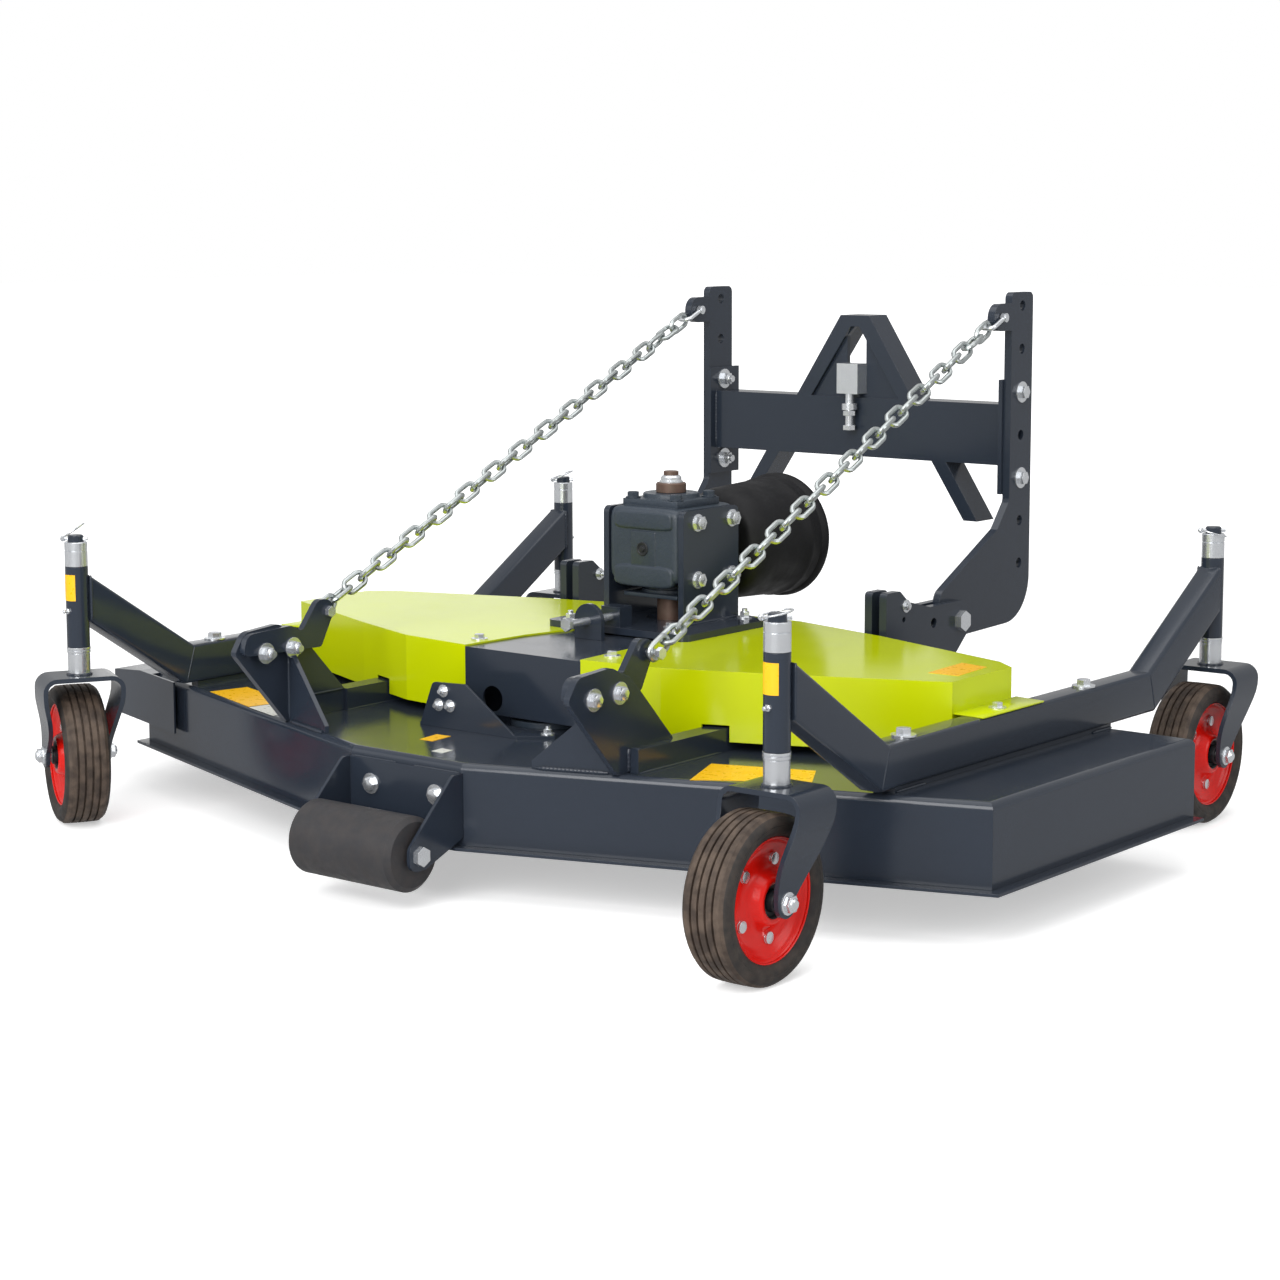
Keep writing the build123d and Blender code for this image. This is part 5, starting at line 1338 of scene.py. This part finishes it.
@dataclass
class Plates:
    """Blank films stuck on the deck, the covers and the stem tubes."""

    thickness: float = 0.5
    sunk: float = 0.2
    flat: tuple[tuple[str, str, float, tuple[tuple[float, float], ...]], ...] = (
        ("film_deck_right", "yellow_film", DECK_TOP, ((478, -500), (429, -382), (590, -325), (634, -398))),
        ("film_deck_left", "yellow_film", DECK_TOP, ((-676, -428), (-658, -353), (-492, -410), (-511, -488))),
        ("film_deck_left_low", "pale_film", DECK_TOP,
         ((-505, -492), (-490, -420), (-400, -452), (-414, -522))),
        ("film_deck_centre", "yellow_film", DECK_TOP, ((-69, -520), (-76, -471), (-46, -469), (-41, -519))),
        ("film_deck_centre_low", "pale_film", DECK_TOP, ((14, -580), (12, -553), (37, -555), (39, -582))),
        ("film_cover_right", "yellow_film", 350.0, ((648, -98), (640, 16), (693, 6), (702, -94))),
    )
    wrap_low: float = 408.0
    wrap_high: float = 454.0

    def wrapped(self, side: Side) -> None:
        """Makes the film round one front stem tube.

        Args:
            side: Side of the machine.
        """
        skin = []
        for c, s in arc(-132.0, -48.0, 12):
            inner, outer = ((side * STEM_X + radius * c, radius * s - STEM_Y)
                            for radius in (TUBE_RADIUS, TUBE_RADIUS + self.thickness))
            skin.append([at(*inner, self.wrap_low), at(*outer, self.wrap_low), at(*outer, self.wrap_high),
                         at(*inner, self.wrap_high)])
        shape = Shape()
        shape.faces(skin)
        fit(shape.done(f"film_stem_{side.name.lower()}", "yellow_film"), "deck", "paint_lime")

    def build(self) -> None:
        """Makes the flat films and the ones wrapped round the front stem tubes."""
        for name, finish, height, corners in self.flat:
            shape = Shape()
            outline = [at(x, y, height - self.sunk) for x, y in corners]
            shape.prism(outline, at(0, 0, self.thickness + self.sunk))
            fit(shape.done(name, finish), "deck", "paint_lime")
        for side in Side:
            self.wrapped(side)


@dataclass
class Welds:
    """Weld beads along the joints that the photograph shows, as start, end and half width."""

    deck: tuple[tuple[Point, Point, float], ...] = (
        ((370.0, -515.0, 221.0), (370.0, -515.0, 258.0), 5.0),
        ((372.0, -511.0, 258.0), (388.0, -511.0, 258.0), 2.6),
        ((358.0, -404.0, 258.0), (358.0, -480.0, 258.0), 2.6),
        ((389.0, -512.0, 220.5), (389.0, -300.0, 220.5), 3.0),
        ((351.0, -402.0, 220.5), (351.0, 60.0, 220.5), 3.0),
        ((350.0, -541.5, 221.0), (236.0, -579.7, 221.0), 4.0),
        ((357.0, -537.0, 226.0), (357.0, -537.0, 330.0), 3.6),
        ((775.0, -380.0, 221.0), (775.0, -300.0, 221.0), 3.0),
        ((775.0, 210.0, 221.0), (775.0, 272.0, 221.0), 3.0),
        ((90.0, -14.0, 362.5), (90.0, 144.0, 362.5), 3.2),
        ((127.0, 144.0, 362.5), (92.0, 146.0, 362.5), 2.4),
        ((357.5, 200.0, 258.4), (357.5, 270.0, 258.4), 3.2),
        ((118.0, -628.0, 205.0), (20.0, -628.0, 205.0), 2.8),
    )
    hitch: tuple[tuple[Point, Point, float], ...] = (
        ((334.0, 640.0, 612.0), (334.0, 640.0, 720.0), 3.4),
        ((334.0, 642.0, 609.0), (334.0, 698.0, 609.0), 3.4),
    )

    def build(self) -> None:
        """Makes one piece of beads for the deck and one for the hitch."""
        for body, rows in (("deck", self.deck), ("hitch", self.hitch)):
            shape = Shape()
            for start, end, radius in rows:
                for side in Side:
                    bead(shape, at(start[0] * side, *start[1:]), at(end[0] * side, *end[1:]), radius)
            fit(shape.done(f"welds_{body}", "weld_paint", 60), body, "paint_dark")


@dataclass
class Nipples:
    """Grease nipples on the stem tubes."""

    height: float = 390.0

    def build(self) -> None:
        """Makes the nipples as one piece."""
        shape = Shape()
        socket = [(-1.0, 0.0), (-1.0, 5.4), (3.6, 5.4), (4.0, 4.8), (4.0, 0.0)]
        tip = [(3.8, 0), (3.8, 3), (7, 2.4), (8.2, 2.4), (9.4, 3.4), (11.2, 3.4), (12.4, 2.2), (12.6, 0)]
        for y, way in ((-STEM_Y - TUBE_RADIUS, Y_FRONT), (STEM_Y + TUBE_RADIUS, Y_REAR)):
            for side in Side:
                seat = facing(at(side * STEM_X, y, self.height), way)
                shape.lathe(socket, seat, 6)
                shape.lathe(tip, seat, 14)
        fit(shape.done("grease_nipples", "zinc", 32), "deck", "zinc")


# Studio.


@dataclass
class Studio:
    """Camera, lights, floor and white surround, with its places in metres."""

    eye: Point = (2.97592, -3.74096, 1.08538)
    yaw: float = 0.684574
    pitch: float = 0.131138
    roll: float = -0.003438
    focal_px: float = 2727.54
    centre_px: tuple[float, float] = (614.48, 568.91)
    image_px: float = 1280.0
    soft: float = 0.5
    mirrored: float = 0.5
    floor_mirrored: float = 0.5
    floor_colour: Colour = (0.9, 0.9, 0.9, 1.0)
    floor_reach: float = 30.0
    near_glow: float = 0.45
    lit_reach: float = 2.4
    dark_reach: float = 6.0
    lamps: tuple[tuple[str, Point, Point, float, float], ...] = (
        # name, place, target, size, power
        ("lamp_top", (0.2, -0.4, 3.4), (0.0, 0.0, 0.2), 4.0, 62.0),
        ("lamp_left", (-3.4, -2.6, 1.9), (0.0, 0.0, 0.3), 2.4, 11.0),
        ("lamp_front", (1.2, -4.8, 2.6), (0.0, 0.0, 0.2), 3.6, 215.0),
        ("lamp_right", (4.2, 0.6, 2.2), (0.2, 0.0, 0.3), 2.4, 30.0),
        ("lamp_back", (-3.8, 3.4, 1.2), (0.0, 0.0, 0.4), 2.2, 8.5),
    )

    def camera(self) -> None:
        """Sets the camera at the photograph's place."""
        data = bpy.data.cameras.new("camera")
        data.sensor_width = 36.0
        data.lens = self.focal_px / self.image_px * data.sensor_width
        data.shift_x = 0.5 - self.centre_px[0] / self.image_px
        data.shift_y = self.centre_px[1] / self.image_px - 0.5
        level = Vector((math.cos(self.yaw), math.sin(self.yaw), 0.0))
        ahead = Vector((-math.sin(self.yaw) * math.cos(self.pitch),
                        math.cos(self.yaw) * math.cos(self.pitch), -math.sin(self.pitch)))
        lift = level.cross(ahead)
        across = level * math.cos(self.roll) + lift * math.sin(self.roll)
        upright = lift * math.cos(self.roll) - level * math.sin(self.roll)
        turn = Matrix((across, upright, -ahead)).transposed().to_4x4()
        made = add_object("camera", data)
        made.matrix_world = Matrix.Translation(self.eye) @ turn
        bpy.context.scene.camera = made

    def lights(self) -> None:
        """Hangs the soft lamps."""
        for name, place, target, size, power in self.lamps:
            data = bpy.data.lights.new(name, "AREA")
            data.size = size
            data.energy = power
            made = add_object(name, data)
            made.visible_camera = False
            way = Vector(target) - Vector(place)
            made.matrix_world = Matrix.Translation(place) @ way.to_track_quat("-Z", "Y").to_matrix().to_4x4()

    def surround(self) -> None:
        """Makes the world: white to the camera, soft grey light on the object."""
        world = bpy.data.worlds.new("surround")
        bpy.context.scene.world = world
        world.use_nodes = True
        tree = Tree(world.node_tree)
        shown = tree.node("ShaderNodeBackground", {"Color": WHITE, "Strength": self.soft})
        seen = {"Is Camera Ray": 1.0, "Is Glossy Ray": self.mirrored, "Is Transmission Ray": self.mirrored}
        for ray, strength in seen.items():
            sky = tree.node("ShaderNodeBackground", {"Color": WHITE, "Strength": strength})
            path = tree.node("ShaderNodeLightPath", out=ray)
            shown = tree.node("ShaderNodeMixShader", {0: path, 1: shown, 2: sky})
        tree.end("ShaderNodeOutputWorld", shown)

    def floor(self) -> None:
        """Lays a pale floor that keeps the object's shadow."""
        graph = Graph("floor_white")
        away = graph.node("ShaderNodeVectorMath", {0: graph.place}, "Value", operation="LENGTH")
        far = graph.spread(away, self.lit_reach, self.dark_reach, self.near_glow, 1.0)
        seen = graph.reckon("MULTIPLY", graph.node("ShaderNodeLightPath", out="Is Camera Ray"), far)
        plain = graph.node("ShaderNodeBsdfDiffuse", {"Color": self.floor_colour})
        glow = graph.node("ShaderNodeEmission", {"Color": WHITE, "Strength": seen})
        both = graph.node("ShaderNodeAddShader", {0: plain, 1: glow})
        calm = graph.node("ShaderNodeEmission", {"Color": WHITE, "Strength": self.floor_mirrored})
        glossy = graph.node("ShaderNodeLightPath", out="Is Glossy Ray")
        mixed = graph.node("ShaderNodeMixShader", {0: glossy, 1: both, 2: calm})
        graph.end("ShaderNodeOutputMaterial", mixed)
        shape = Shape()
        corners = [(x * self.floor_reach, y * self.floor_reach, 0) for x, y in SQUARE]
        shape.mesh.faces.new([shape.mesh.verts.new(corner) for corner in corners])
        floor = shape.done("floor", "floor_white")

    def build(self) -> None:
        """Sets up the whole studio."""
        bpy.context.scene.view_settings.view_transform = "Standard"
        self.camera()
        self.lights()
        self.surround()
        self.floor()


def dress_nodes(frame: dict) -> None:
    """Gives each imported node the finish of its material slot.
    """
    slots = {row["node"]: row["material_slot"] for row in frame["record"]["subparts"]}
    for name, node in frame["nodes"].items():
        node.data.materials.clear()
        node.data.materials.append(look("primed_steel" if name == "output_shaft" else slots[name]))


def main() -> None:
    """Builds the studio, the finishes and every piece."""
    logging.basicConfig(level=logging.INFO, format="%(name)s: %(message)s")
    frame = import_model()
    Studio().build()
    for finish in FINISHES:
        finish.build()
    dress_nodes(frame)
    for assembly in (
            *CASTORS, SideBeams(), CoverTabs(), Chains(), Drive(),
            Fasteners("deck", "deck_bolt", DECK_FASTENERS),
            Fasteners("deck", "casting_bolt", CASTING_FASTENERS, "paint_cast"),
            Fasteners("hitch", "hitch_bolt", HITCH_FASTENERS),
            Plates(), Welds(), Nipples()):
        assembly.build()


if __name__ == "__main__":
    main()
